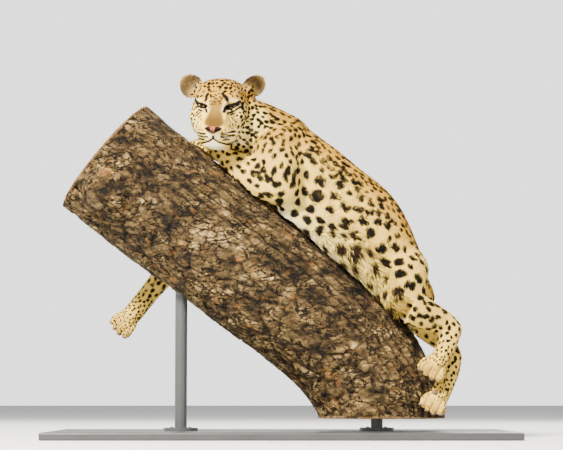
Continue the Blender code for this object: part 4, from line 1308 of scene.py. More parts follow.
# %% Fur materials
def fur_material(name, bump_scale, bump_depth, roughness):
    made, shader = new_material(name, {"Roughness": roughness, "Specular IOR Level": 0.12})
    hue = add_node(shader, "ShaderNodeAttribute", attribute_name="hue")
    grain = noise_from(object_place(shader), bump_scale, 3.0)
    shade = ramp_from(grain, [(0.3, (0.8, 0.79, 0.77)), (0.7, (1.0, 1.0, 1.0))])
    feed(shader, {"Base Color": blend((hue, "Color"), shade)})
    add_bump(shader, grain, 0.6, bump_depth)
    return made


skin_material = fur_material("short_fur", 420.0, 0.001, 0.8)
coat_material = fur_material("coat_tufts", 700.0, 0.0004, 0.72)


def store_hue(mesh, colours):
    hues = mesh.color_attributes.new("hue", "FLOAT_COLOR", "POINT")
    shades = np.column_stack([colours.clip(0, 1), np.ones(len(colours))])
    hues.data.foreach_set("color", shades.astype(np.float32).ravel())


store_hue(skin.data, skin_colour)
skin.data.materials.append(skin_material)

# %% [markdown]
# ## Foot pads
# The soles show on the three paws that hang free. Each has four toe pads, which sit at the toes' ends, and
# one broad pad with three lobes behind them. They are leathery, darker than the hair around them, and stand
# a little out of it. The near forepaw rests its sole on the wood, so it has none to show.

# %% Foot pads
TOE_PAD = (0.0068, 0.0088, 0.0042)
BROAD_PAD = (0.008, 0.011, 0.005)


def pad_lump(centre, outward, along, half):
    """A flattened lump: half sizes across, along and out of the sole."""
    lump = bmesh.new()
    bmesh.ops.create_icosphere(lump, subdivisions=3, radius=1)
    across = unit(np.cross(along, outward))
    for corner in lump.verts:
        point = np.array(corner.co)
        grain = 0.05 * noise.noise(corner.co * 3.0)
        corner.co = Vector(centre + across * point[0] * half[0] + along * point[1] * half[1]
                           + outward * point[2] * half[2] * (1 + grain))
    return mesh_from("lump", lump)


def join_meshes(name, meshes, material):
    whole = bmesh.new()
    for mesh in meshes:
        whole.from_mesh(mesh)
        bpy.data.meshes.remove(mesh)
    bmesh.ops.recalc_face_normals(whole, faces=whole.faces)
    joined = mesh_from(name, whole)
    joined.shade_smooth()
    return new_object(name, joined, material)


pad_places = []
pad_lumps = []
for paw, (ball, tip, spread_half, sole) in PAWS.items():
    ahead = unit(tip - ball)
    sole = unit(sole - ahead * (sole @ ahead))
    outward = unit(sole * 0.75 + ahead * 0.65)
    spots_here = [(tip + spread_half * side - ahead * 0.005 * abs(side), outward, TOE_PAD)
                  for side in (-1.0, -0.34, 0.34, 1.0)]
    spots_here += [(ball + spread_half * side - ahead * (0.004 + 0.006 * abs(side)), sole, BROAD_PAD)
                   for side in (-0.42, 0.0, 0.42)]
    for middle, facing, half in spots_here:
        hit = skin_rays.ray_cast(Vector(middle + facing * 0.05), Vector(-facing), 0.09)
        if hit[0] is None:
            continue
        centre = np.array(hit[0]) - facing * half[2] * 0.25
        along = unit(ahead - facing * (ahead @ facing))
        pad_lumps.append(pad_lump(centre, facing, along, half))
        pad_places.append((centre, max(half)))

pad_material, pad_shader, pad_place = clouded_material(
    "pad_leather", {"Roughness": 0.62}, 90.0, (74, 56, 48), (128, 100, 84))
pad_cells = add_node(pad_shader, "ShaderNodeTexVoronoi", {"Vector": pad_place, "Scale": 1400.0})
add_bump(pad_shader, (pad_cells, "Distance"), 0.5, 0.0006)
finish_piece(join_meshes("foot_pads", pad_lumps, pad_material), "bare_skin")

# %% [markdown]
# ## The coat
# A tuft is a slim closed solid with six faces: a point in the skin, a flat triangle where it is widest, and
# a tip. It leaves the skin at its own slope and then bends over, as hair does. Roots are dealt out to the
# skin's triangles by area, so dense parts get more. Where the animal lies on the limb no hair grows, because
# it would only stick in the wood, and hair that would run into the limb is cut short.

# %% Where the roots go
PERCH_GAP = 0.005          # hair keeps at least this far from the limb
TUFT_SINK = 0.0006
WIDEST_AT = 0.42            # share of a tuft's length where it is widest


def bare_places():
    """Points of the skin that carry no hair."""
    across, out, height = np.abs(local[:, 0]), local[:, 1], local[:, 2]
    mouth = line_distance(np.column_stack([across, height]), MOUTH_LINE)
    lips = head_points & (out > 0.02) & (mouth < 0.0016)
    leather = np.zeros(len(places), bool)
    nose_tree = tree_of("nose")
    for index in np.flatnonzero(head_points & (out > 0.05)):
        leather[index] = nose_tree.find_nearest(places[index], 0.004)[0] is not None
    sockets = np.zeros(len(places), bool)
    for side, *_ in SLITS.values():
        away = lengths_of(local - EYE_SET * (side, 1, 1))
        sockets |= head_points & ~is_lid & (away < EYE_RADIUS + 0.0035)
    soles = np.zeros(len(places), bool)
    for centre, reach in pad_places:
        soles |= lengths_of(places - centre) < reach * 0.95
    return lips | leather | sockets | soles | (is_lid & ~lid_front)


perch_tree = tree_of("perch_limb")
perch_gap = np.full(len(places), 1.0)
for index in range(len(places)):
    hit = perch_tree.find_nearest(places[index], 0.06)
    if hit[0] is not None:
        perch_gap[index] = hit[3] * (1 if (Vector(places[index]) - hit[0]).dot(hit[1]) > 0 else -1)
bald = bare_places() | (perch_gap < PERCH_GAP)
tell(f"{bald.sum()} of {len(places)} points stay bald")

# %% [markdown]
# A root lies anywhere in its triangle, and whatever the skin knows at the three corners is mixed there in
# the same shares. Each tuft leans a little to one side of the coat's lie, and no two are quite as long.

# %% Deal the roots
def deal_roots(triangles):
    """Roots on triangles: each root's triangle and its three corner shares."""
    corners = places[triangles]
    area = lengths_of(np.cross(corners[:, 1] - corners[:, 0], corners[:, 2] - corners[:, 0])) / 2
    gap = coat[triangles, 2].mean(1)
    wanted = area / gap ** 2
    count = np.floor(wanted + dice.random(len(wanted))).astype(int)
    chosen = np.repeat(np.arange(len(triangles)), count)
    first, second = dice.random((2, len(chosen)))
    over = first + second > 1
    first[over], second[over] = 1 - first[over], 1 - second[over]
    return chosen, np.column_stack([1 - first - second, first, second])


lid_back = is_lid[skin_triangles].any(1) & ~lid_front[skin_triangles].all(1)
hairy = ~bald[skin_triangles].any(1) & ~lid_back
hair_triangles = skin_triangles[hairy]
chosen, shares = deal_roots(hair_triangles)


def at_roots(values):
    picked = values[hair_triangles[chosen]]
    if picked.ndim == 2:
        return (picked * shares).sum(1)
    return (picked * shares[:, :, None]).sum(1)


root = at_roots(places)
root_normal = unit(at_roots(normals))
root_along = flattened(at_roots(flow), root_normal)
root_owner = owner[hair_triangles[chosen, 0]]
root_coat = at_roots(coat)
tell(f"{len(root)} tufts")

# %% Comb the hair
lean = dice.normal(0, 0.16, len(root)) * (1 + 0.8 * at_roots(belly))
root_across = np.cross(root_normal, root_along)
root_along = root_along * np.cos(lean)[:, None] + root_across * np.sin(lean)[:, None]
root_across = np.cross(root_normal, root_along)
length = root_coat[:, 0] * dice.uniform(0.75, 1.2, len(root))
width = root_coat[:, 1] * dice.uniform(0.8, 1.2, len(root))
steep = root_coat[:, 3] * dice.uniform(0.6, 1.35, len(root))
gap_here = at_roots(perch_gap)
for index in np.flatnonzero(gap_here < length * 1.3 + PERCH_GAP):
    slope = root_along[index] * math.cos(steep[index]) + root_normal[index] * math.sin(steep[index])
    hit = perch_tree.ray_cast(Vector(root[index]), Vector(slope), length[index] + 0.004)
    if hit[0] is not None:
        length[index] = max(0.003, min(length[index], hit[3] - 0.001))

# a tuft reads its marking at two shares of its length, so that the spots keep crisp edges
READ_AT = (0.62, 0.8)
root_ground, root_faded = at_roots(colour), at_roots(faded)
root_on_head = np.isin(root_owner, part_number["head"])
shade_of = dice.uniform(0.88, 1.1, len(root))[:, None]
tuft_colour = []
for share in READ_AT:
    reading_place = root + root_along * (length * share)[:, None]
    reading = coat_colour(reading_place, root_normal, root_ground, root_on_head, root_faded)
    tuft_colour.append(reading * shade_of)
tell("coloured tufts")

# %% [markdown]
# Each piece of coat has its own flat map for baking. Every part is unrolled like a sleeve: the angle round
# its own line across, the share along that line upwards. A tuft is a tiny patch on that map, at its root's
# place.

# %% Build the tufts
MOST_TUFTS = 32000
PATCH_HALF = 0.0015
COAT_PIECES = {
    "coat_head": ("head", "nose"),
    "coat_ears": ("ear_left", "ear_right"),
    "coat_neck": ("neck",),
    "coat_chest": ("trunk_chest",),
    "coat_belly": ("trunk_belly",),
    "coat_rump": ("trunk_rump", "hindleg_left_thigh", "hindleg_right_thigh"),
    "coat_near_foreleg": ["foreleg_left_" + part for part in ("upper_arm", "forearm", "paw")],
    "coat_far_foreleg": ["foreleg_right_" + part for part in ("upper_arm", "forearm", "paw")],
    "coat_hind_feet": (
        "hindleg_left_shank", "hindleg_left_foot", "hindleg_right_shank", "hindleg_right_foot",
    ),
    "coat_tail": ("tail_root", "tail_middle", "tail_tip"),
}


def sleeve_map(points, name):
    """Unrolls a part: the angle round its line, and the share along it, both 0 to 1."""
    if name in ("head", "nose") or name.startswith("ear"):
        spot = to_head(points)
        foot = np.array(EAR_FOOT.get(name, (0, -0.04, -0.03)))
        spot = spot - foot
        angle = np.arctan2(spot[:, 0], spot[:, 1]) / math.tau + 0.5
        height = spot[:, 2]
    else:
        start, end = np.array(LIE[name])
        line = unit(end - start)
        side = unit(np.cross(line, (0.3, 0.2, 1.0)))
        up = np.cross(line, side)
        away = points - start
        angle = np.arctan2(away @ side, away @ up) / math.tau + 0.5
        height = away @ line
    low, high = height.min(), height.max()
    return np.column_stack([angle, (height - low) / max(high - low, 1e-6)])


def tuft_points(pick):
    """Five points for each tuft: base, left, ridge, right, tip."""
    base = root[pick] - root_normal[pick] * TUFT_SINK
    first, second = (steep[pick] * 1.35)[:, None], (steep[pick] * 0.8)[:, None]
    long, wide = length[pick][:, None], width[pick][:, None]
    middle = base + long * WIDEST_AT * (root_along[pick] * np.cos(first) + root_normal[pick] * np.sin(first))
    tip = base + long * (root_along[pick] * np.cos(second) + root_normal[pick] * np.sin(second))
    left = middle - root_across[pick] * wide / 2
    right = middle + root_across[pick] * wide / 2
    ridge = middle + root_normal[pick] * wide * 0.42
    return np.stack([base, left, ridge, right, tip], axis=1)


TUFT_FACES = np.array([(0, 1, 2), (0, 2, 3), (0, 3, 1), (4, 2, 1), (4, 3, 2), (4, 1, 3)])
# painted shade and light along each tuft: darkest at the root, darker on its two sides than on the ridge,
# lightest at the tip
TUFT_PAINTED_SHADE = np.array([0.6, 0.9, 1.0, 0.9, 1.08])
TUFT_PATCH = np.array([(0, -1), (-1, 0), (0, 0.2), (1, 0), (0, 1)]) * PATCH_HALF


def coat_piece(name, pick, flat_map):
    points = tuft_points(pick)
    count = len(pick)
    faces = (np.arange(count)[:, None, None] * 5 + TUFT_FACES).reshape(-1, 3)
    mesh = mesh_of_triangles(name, points.reshape(-1, 3), faces)
    low, high = tuft_colour[0][pick][:, None, :], tuft_colour[1][pick][:, None, :]
    along_tuft = np.concatenate([low, low, low, low, high], axis=1)
    store_hue(mesh, (along_tuft * TUFT_PAINTED_SHADE[None, :, None]).reshape(-1, 3))
    patches = flat_map[:, None, :] + TUFT_PATCH[None, :, :]
    layer = mesh.uv_layers.new(name="OFBake")
    corner_places = patches.reshape(-1, 2)[faces.ravel()]
    layer.uv.foreach_set("vector", corner_places.astype(np.float32).ravel())
    finish_piece(new_object(name, mesh, coat_material), "fur")


def deal_piece(name, parts):
    picks, maps = [], []
    for column, part in enumerate(parts):
        pick = np.flatnonzero(root_owner == part_number[part])
        if not len(pick):
            continue
        flat_map = sleeve_map(root[pick], part)
        flat_map[:, 0] = (column + 0.01 + flat_map[:, 0] * 0.98) / len(parts)
        picks.append(pick)
        maps.append(flat_map)
    pick, flat_map = np.concatenate(picks), np.concatenate(maps)
    order = np.argsort(flat_map[:, 1], kind="stable")
    lots = math.ceil(len(pick) / MOST_TUFTS)
    for lot, rows in enumerate(np.array_split(order, lots)):
        part_map = flat_map[rows].copy()
        low, high = part_map[:, 1].min(), part_map[:, 1].max()
        part_map[:, 1] = 0.004 + 0.992 * (part_map[:, 1] - low) / max(high - low, 1e-6)
        coat_piece(f"{name}_{lot + 1}" if lots > 1 else name, pick[rows], part_map)


for name, parts in COAT_PIECES.items():
    deal_piece(name, parts)
finish_piece(skin, "fur", *[name for name in flesh if name != "nose"])

# %% [markdown]
# ## Eyes
# An eyeball is a turned shape: a globe with a slightly steeper window in front. Its colours depend on one
# angle only, measured from the line of sight, so the ball carries a map of its own: the angle round that
# line across, and the angle away from it upwards. A ramp over the second gives the round pupil, the amber
# iris and its dark rim, and stretched noise gives the iris its streaks.

# %% Eyeballs
EYEBALL_RADIUS = 0.0133
WINDOW_RISE = 0.0004
WINDOW_ANGLE = math.radians(36)
GAZE = np.array((0.06, 1.0, 0.02))      # the right eye's, in the head's own directions


# the angle from the line of sight as a share of half a turn, and the screen colour there
EYE_STOPS = [
    (0.0, (4, 4, 4)), (0.098, (5, 4, 4)), (0.112, (84, 56, 20)), (0.14, (184, 132, 44)),
    (0.185, (196, 154, 66)), (0.225, (132, 96, 36)), (0.245, (30, 20, 12)), (0.3, (60, 42, 32)),
    (0.42, (150, 128, 110)),
]
eye_material, eye_shader = new_material("wet_eye", {
    "Roughness": 0.12, "Coat Weight": 0.1, "Coat Roughness": 0.02, "Specular IOR Level": 0.1, "IOR": 1.38,
})
eye_map = (add_node(eye_shader, "ShaderNodeUVMap", uv_map="gaze"), "UV")
eye_parts = add_node(eye_shader, "ShaderNodeSeparateXYZ", {"Vector": eye_map})
eye_colours = ramp_from((eye_parts, "Y"), screen_stops(EYE_STOPS))
streak_place = add_node(eye_shader, "ShaderNodeMapping", {"Vector": eye_map, "Scale": (46.0, 5.0, 1.0)})
streaks = noise_from((streak_place, "Vector"), 1.0, 3.0, 0.5)
streak_shade = ramp_from(streaks, [(0.35, (0.62, 0.6, 0.55)), (0.65, (1.0, 1.0, 1.0))])
feed(eye_shader, {"Base Color": blend(eye_colours, streak_shade)})


def eyeball(name, side):
    globe = bmesh.new()
    bmesh.ops.create_uvsphere(globe, u_segments=64, v_segments=48, radius=1.0)
    layer = globe.loops.layers.uv.new("gaze")
    for face in globe.faces:
        turns = [math.atan2(loop.vert.co.y, loop.vert.co.x) / math.tau for loop in face.loops]
        for loop, turn in zip(face.loops, turns):
            if turn - min(turns) > 0.5:
                turn -= 1
            polar = math.acos(max(-1, min(1, loop.vert.co.z)))
            loop[layer].uv = (turn, polar / math.pi)
    middle = from_head(EYE_SET * (side, 1, 1))
    sight_line = Vector(head_turn @ (GAZE * (side, 1, 1))).normalized()
    aim = sight_line.to_track_quat("Z", "Y")
    for corner in globe.verts:
        polar = math.acos(max(-1, min(1, corner.co.z)))
        rise = WINDOW_RISE * max(0.0, 1 - (polar / WINDOW_ANGLE) ** 2)
        corner.co = Vector(middle) + aim @ (corner.co * (EYEBALL_RADIUS + rise))
    mesh = mesh_from(name, globe)
    mesh.shade_smooth()
    return new_object(name, mesh, eye_material)


finish_piece(eyeball("eyeball_right", 1), "eye_glass", "eye_right")
finish_piece(eyeball("eyeball_left", -1), "eye_glass", "eye_left")

# %% [markdown]
# ## Nose leather
# The bare nose is a rounded wedge: broad above, narrow below, with a groove down its middle and a
# comma-shaped nostril on each side. It starts as a globe and each point is moved by a few formulas, which is
# simpler than modelling the nostrils by hand. Its middle is pink, and its wings and the nostrils are black.

# %% Shape of the nose
NOSE_MIDDLE = np.array((0.0, 0.087, -0.0608))
NOSE_HALF = np.array((0.0228, 0.0165, 0.0102))

ball = bmesh.new()
bmesh.ops.create_uvsphere(ball, u_segments=144, v_segments=96, radius=1.0)
nose_mesh = mesh_from("nose_leather", ball)
shape = point_array(nose_mesh)
side_of = np.abs(shape[:, 0])
ahead = fade(shape[:, 1], -0.2, 0.35)
down = -shape[:, 2]
across = shape[:, 0] * (1 - 0.52 * fade(down, -0.15, 1.0))
lift = 0.3 * np.maximum(side_of - 0.35, 0) - 0.16 * fade(side_of, 0.5, 1.0) * fade(down, 0, 1)
height = shape[:, 2] * (1 - 0.12 * fade(shape[:, 2], 0.2, 1.0)) + lift
nostril_line = np.hypot((side_of - 0.5) / 0.17, (shape[:, 2] + 0.02 - 0.35 * (side_of - 0.45)) / 0.2)
nostril = np.exp(-nostril_line ** 2) * ahead
slit_height = (shape[:, 2] + 0.04 - 0.1 * side_of) / 0.09
side_slit = np.exp(-(((side_of - 0.78) / 0.2) ** 2 + slit_height ** 2)) * ahead
centre_groove = np.exp(-(shape[:, 0] / 0.055) ** 2) * ahead * fade(down, -0.75, 0.1)
outward = shape[:, 1] - 0.62 * nostril - 0.3 * side_slit - 0.16 * centre_groove
outward += 0.1 * np.exp(-((side_of - 0.22) / 0.14) ** 2) * ahead
shape = np.column_stack([across, outward, height]) * NOSE_HALF + NOSE_MIDDLE
set_points(nose_mesh, from_head(shape))
print("nose:", len(shape), "points")

# %% [markdown]
# The leather's colours depend on the same measures of the globe as its shape, so they meet the nostrils and
# the groove exactly. The real grain is a pattern of small round bosses, and smooth cells give that.

# %% Leather of the nose
pink = linear(150, 76, 48)
dark_pink = linear(98, 52, 40)
nose_black = linear(9, 6, 6)
pink_half = np.interp(down, (-1.0, -0.6, -0.2, 0.3, 1.0), (0.3, 0.25, 0.17, 0.13, 0.1))
wing = fade(side_of, pink_half - 0.05, pink_half + 0.1)
wing = np.maximum(wing, nostril)
leather_colour = mixed(pink, dark_pink, fade(down, -0.2, 0.6))
leather_colour = mixed(leather_colour, nose_black, np.maximum(wing, centre_groove * 0.8) * 0.96)
store_hue(nose_mesh, leather_colour)
nose_mesh.shade_smooth()

nose_material, nose_shader = new_material("nose_leather", {
    "Roughness": 0.52, "Specular IOR Level": 0.25, "Coat Weight": 0.05, "Coat Roughness": 0.25,
})
nose_hue = add_node(nose_shader, "ShaderNodeAttribute", attribute_name="hue")
feed(nose_shader, {"Base Color": (nose_hue, "Color")})
pebble_sockets = {"Vector": object_place(nose_shader), "Scale": 1100.0}
pebbles = add_node(nose_shader, "ShaderNodeTexVoronoi", pebble_sockets, feature="SMOOTH_F1")
add_bump(nose_shader, (pebbles, "Distance"), 0.45, 0.0005)
finish_piece(new_object("nose_leather_piece", nose_mesh, nose_material), "bare_skin", "nose")

# %% [markdown]
# ## Whiskers and long single hairs
# A whisker is a tapering tube along a bent line. The lines are built as bare edges, one for each whisker,
# and a Geometry Nodes tree turns every line into a curve, gives it a radius that shrinks towards the tip,
# and sweeps a small ring along it. The same tree makes the hairs over the eyes and in the ears.

# %% Tapered hair tree
HAIR_SIDES = 5
HAIR_TIP = 0.12             # how thick the tip is, as a share of the root


def hair_tree(material):
    tree, entry, keys = geometry_tree("tapered_hairs", {"Lines": "Geometry", "Thickness": "Float"})
    curve = add_node(tree, "GeometryNodeMeshToCurve", {"Mesh": (entry, "Lines")})
    along = add_node(tree, "GeometryNodeSplineParameter")
    taper_sockets = {"Value": (along, "Factor"), "To Min": 1.0, "To Max": HAIR_TIP}
    taper = add_node(tree, "ShaderNodeMapRange", taper_sockets)
    factors = {0: (taper, "Result"), 1: (entry, "Thickness")}
    reach = (add_node(tree, "ShaderNodeMath", factors, operation="MULTIPLY"), "Value")
    radius = add_node(tree, "GeometryNodeSetCurveRadius", {"Curve": (curve, "Curve"), "Radius": reach})
    ring = add_node(tree, "GeometryNodeCurvePrimitiveCircle", {"Resolution": HAIR_SIDES, "Radius": 1.0})
    sweep = add_node(tree, "GeometryNodeCurveToMesh", {
        "Curve": (radius, "Curve"), "Profile Curve": (ring, "Curve"), "Fill Caps": True,
    })
    if "Scale" in sweep.inputs:
        feed(sweep, {"Scale": reach})
    close_tree(tree, (sweep, "Mesh"), material)
    return tree, keys["Thickness"]


def hair_lines(name, lines, thickness, material):
    """A piece of many tapered hairs from their lines of points."""
    mesh = bpy.data.meshes.new(name)
    corners, joins = [], []
    for line in lines:
        first = len(corners)
        corners += [tuple(point) for point in line]
        joins += [(first + step, first + step + 1) for step in range(len(line) - 1)]
    mesh.from_pydata(corners, joins, [])
    made = new_object(name, mesh)
    tree, thickness_key = hair_tree(material)
    run_tree(made, tree, {thickness_key: thickness})
    made.data.shade_smooth()
    return made


def bent_line(start, direction, droop, length, steps=9):
    """A hair that starts out straight and bends towards a second direction."""
    shares = np.linspace(0, 1, steps)[:, None]
    return start + unit(direction) * length * shares + np.array(droop) * length * shares ** 2


whisker_material, *_ = clouded_material(
    "whisker", {"Roughness": 0.35}, 60.0, (224, 202, 150), (244, 228, 184))

# %% [markdown]
# The whiskers stand in four rows on each whisker pad, and a few stiff hairs stand over each eye. Each leaves
# the skin at its own angle, chosen by the dice, and droops towards its tip.

# %% Whiskers
# height on the head in millimetres, and how many
WHISKER_ROWS = [(-61.0, 3), (-69.0, 4), (-77.5, 4), (-85.0, 3)]
HAIR_THICKNESS = 0.00018


def face_hair(spot, outward, droop, reach):
    """One long hair from a place on the face, with its directions given on the head."""
    place, normal = face_hit(skin_rays, spot[0] * MILLIMETRE, spot[1] * MILLIMETRE)
    if place is not None:
        face_hairs.append(bent_line(place - normal * 0.001, head_turn @ outward, head_turn @ droop, reach))


face_hairs = []
for side in (1, -1):
    for row, (height_here, count) in enumerate(WHISKER_ROWS):
        for number in range(count):
            across_here = 22 + 20 * number / (count - 1) + dice.uniform(-1, 1)
            outward = np.array((side * 1.2, 0.3, 0.2 - 0.16 * row)) + dice.normal(0, 0.08, 3)
            outward[2] += 0.55 * (side > 0)
            droop = np.array((0.1 * side, -0.35, -0.12 + dice.uniform(-0.08, 0.08)))
            spot = (side * across_here, height_here + dice.uniform(-1, 1))
            face_hair(spot, outward, droop, dice.uniform(0.045, 0.085))
    for number in range(4):
        outward = np.array((side * (0.3 + 0.2 * number), 0.5, 0.9))
        face_hair((side * (35 + 4 * number), 20 + number), outward, np.array((0.1 * side, -0.4, 0.1)), 0.04)
finish_piece(hair_lines("whiskers", face_hairs, HAIR_THICKNESS, whisker_material), "fur")

# %% [markdown]
# Pale hairs spring from the ear's inner edge and fan over the hollow. They are short whiskers, made by the
# same tree.

# %% Hairs in the ears
ear_hairs = []
for name, foot in EAR_FOOT.items():
    side = 1 if name == "ear_right" else -1
    for number in range(16):
        spot = np.array(foot) + (dice.normal(0, 0.005) - side * 0.004, 0.02, dice.normal(0.016, 0.007))
        place, normal = face_hit(skin_rays, spot[0], spot[2])
        if place is None:
            continue
        outward = np.array((side * dice.uniform(0.1, 0.9), 0.3, dice.uniform(0.3, 1.0)))
        droop = np.array((side * 0.15, -0.25, -0.05))
        reach = dice.uniform(0.008, 0.014)
        ear_hairs.append(bent_line(place - normal * 0.001, head_turn @ outward, head_turn @ droop, reach, 6))
finish_piece(hair_lines("ear_hairs", ear_hairs, HAIR_THICKNESS, whisker_material), "fur")

# %% [markdown]
# ## Bark
# The limb's bark is grey-brown and scaly, with long furrows along its upper side, a healed burl with rings
# round it, and rusty patches where a plate has come off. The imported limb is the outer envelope, so all
# carving goes inwards from it and never reaches the animal. Cell noise gives the plates and their cracks,
# and the same numbers are kept as attributes, so that the colours follow the carving.

# %% The limb's own measures
LIMB_GRID = 0.0044
LIMB_LINE = np.array([
    (-0.54, -0.045, 0.8), (-0.327, -0.045, 0.628), (-0.213, -0.045, 0.541), (-0.076, -0.04, 0.435),
    (0.065, -0.022, 0.326), (0.166, -0.004, 0.232), (0.235, 0.006, 0.132), (0.288, 0.008, -0.06),
])
SAWN_ENDS = [(np.array((-0.462, -0.045, 0.742)), unit(np.array((-0.77, 0.0, 0.64)))),
             (np.array((0.262, 0.008, 0.052)), np.array((0.0, 0.0, -1.0)))]
BURL = np.array((-0.446, -0.184, 0.636))
BURL_REACH = 0.105
PLATE_SIZE = 0.034
FURROW_GAP = 0.026
BARK_SEED = 7
DEEPEST = 0.014            # the carving's depth that is stored as 1

limb_points, limb_faces, _ = merged_faces(["perch_limb"])
bark = new_object("bark", joined_mesh("bark", limb_points, limb_faces))
rebuild_evenly(bark, LIMB_GRID, 10)
limb_places = point_array(bark.data)
limb_normals = normal_array(bark.data)
print("limb:", len(limb_places), "points")

limb_share, limb_foot = along_line(limb_places, LIMB_LINE)
limb_length = lengths_of(np.diff(LIMB_LINE, axis=0)).sum()
limb_run = limb_share * limb_length
out_of_line = limb_places - limb_foot
round_turn = np.arctan2(-out_of_line[:, 1], out_of_line @ unit(np.array((0.64, 0.0, 0.77))))
sawn = np.zeros(len(limb_places))
pith = np.zeros(len(limb_places))
for middle, facing in SAWN_ENDS:
    gap = np.abs((limb_places - middle) @ facing)
    sawn = np.maximum(sawn, (1 - fade(gap, 0.003, 0.006)) * (limb_normals @ facing > 0.55))
    near_end = lengths_of(limb_places - middle) < 0.26
    pith[near_end] = lengths_of(limb_places[near_end] - middle - (0.02, 0.015, 0.01))
burl_away = lengths_of(limb_places - BURL)
burl = np.exp(-(burl_away / BURL_REACH) ** 2)
upper = fade(limb_normals @ unit(np.array((0.55, -0.25, 0.8))), 0.1, 0.75)

# %% [markdown]
# The carving is a sum of depths: cracks between the plates, furrows along the upper side that wander with
# slow noise, rings round the burl, and a fine grain over all. The sawn ends stay flat.

# %% Carve the bark
noise.seed_set(BARK_SEED)
crack, plate_tone, wander, fine_grain = np.zeros((4, len(limb_places)))
for index, place in enumerate(limb_places):
    run, turn = limb_run[index], round_turn[index] * 0.165
    warp = noise.noise_vector(Vector(place) * 14.0) * 0.5
    cell_place = Vector((run * 0.62, turn, out_of_line[index, 1] * 0.3)) / PLATE_SIZE + warp
    distances, cells = noise.voronoi(cell_place)
    crack[index] = distances[1] - distances[0]
    plate_tone[index] = noise.cell(cells[0] * 7.3)
    slow = noise.noise(Vector((run * 3.0, turn * 14.0, 0.3)))
    wander[index] = slow + 0.5 * noise.noise(Vector(place) * 22.0)
    fine_grain[index] = noise.turbulence(Vector((run * 60.0, turn * 95.0, 0.0)), 3, False)
crack_depth = 0.005 * (1 - fade(crack, 0.02, 0.18))
furrow = np.abs(np.sin(round_turn * 0.165 / FURROW_GAP * math.pi + wander * 2.2))
furrow_depth = 0.008 * (1 - fade(furrow, 0.0, 0.55)) * upper * (1 - burl)
ring_depth = 0.0062 * (0.5 + 0.5 * np.sin(burl_away / 0.0105 * math.tau / 1.3 + wander * 1.6)) * burl
carve = 0.0006 + crack_depth * (0.45 + 0.55 * (1 - upper)) + furrow_depth + ring_depth
grain_depth = 0.0022 * fine_grain.clip(0, 1)
carve += 0.0035 * fade(wander, -0.5, 0.6) + grain_depth + 0.0028 * plate_tone.clip(0, 1)
carve *= 1 - sawn
set_points(bark.data, limb_places - limb_normals * carve[:, None])
kept = {"depth": carve / DEEPEST, "pith": pith, "sawn": sawn, "plate": plate_tone}
for attribute_name, values in kept.items():
    layer = bark.data.attributes.new(attribute_name, "FLOAT", "POINT")
    layer.data.foreach_set("value", values.astype(np.float32))
bark.data.shade_smooth()
print("carved up to", round(carve.max() * 1000, 1), "mm deep")

# %% [markdown]
# The bark's colour is built in layers: a drifting grey-brown, darker and paler flakes, the tone of each plate,
# dark lines between the scales, winding splits and patches of rust, as its growth gives them. Over them comes
# painted shade in whatever is carved deep, with a little painted light where the carving is shallowest. Every
# layer multiplies the one below it, except for the rust.

# %% Bark material
bark_material, bark_shader = new_material("bark", {"Roughness": 0.92, "Specular IOR Level": 0.2})
FULL = (1.0, 1.0, 1.0)
BARK_STOPS = [(0.34, (24, 18, 11)), (0.44, (70, 57, 36)), (0.54, (106, 89, 60)), (0.68, (164, 146, 108))]
FLAKE_STOPS = [
    (0.37, (0.16, 0.13, 0.1)), (0.46, (0.66, 0.62, 0.56)), (0.56, (1.05, 1.0, 0.94)),
    (0.68, (1.45, 1.4, 1.3)),
]
PLATE_STOPS = [(0.0, (1.12, 1.08, 1.0)), (0.6, (0.92, 0.9, 0.88)), (1.0, (0.72, 0.68, 0.64))]
SCALE_STOPS = [(0.0, (0.03, 0.02, 0.01)), (0.06, (0.3, 0.26, 0.2)), (0.13, FULL)]
SPLIT_STOPS = [
    (0.445, FULL), (0.47, (0.04, 0.03, 0.02)), (0.49, (0.04, 0.03, 0.02)),
    (0.505, (1.25, 1.2, 1.1)), (0.56, FULL),
]
# painted shade by carving depth: slightly lighter where shallow, dark where deep
CAVITY_SHADE_STOPS = [(0.25, (1.1, 1.1, 1.1)), (0.62, (0.6, 0.56, 0.5)), (0.95, (0.12, 0.1, 0.08))]


def on_bark(kind, sockets=None, **settings):
    return add_node(bark_shader, kind, sockets, **settings)


def stored(name):
    """A value that the carving left on the bark."""
    return on_bark("ShaderNodeAttribute", attribute_name=name), "Fac"


bark_place = object_place(bark_shader)
turn_sockets = {"Vector": bark_place, "Rotation": (0, math.radians(41), 0), "Scale": (0.55, 1.0, 1.0)}
along_limb = (on_bark("ShaderNodeMapping", turn_sockets), "Vector")
broad = noise_from(along_limb, 26.0, 6.0, 0.62)
flakes = noise_from(along_limb, 88.0, 8.0, 0.68, 0.6)
winding = noise_from(along_limb, 34.0, 5.0, 0.6, 0.8)
stir, _ = noise_from(along_limb, 60.0, 3.0, 0.5)
small_stir = on_bark("ShaderNodeVectorMath", {0: (stir, "Color"), "Scale": 0.018}, operation="SCALE")
stirred = on_bark("ShaderNodeVectorMath", {0: along_limb, 1: (small_stir, "Vector")}, operation="ADD")
scale_sockets = {"Vector": (stirred, "Vector"), "Scale": 52.0}
scales = (on_bark("ShaderNodeTexVoronoi", scale_sockets, feature="DISTANCE_TO_EDGE"), "Distance")
splits = ramp_from(winding, SPLIT_STOPS)

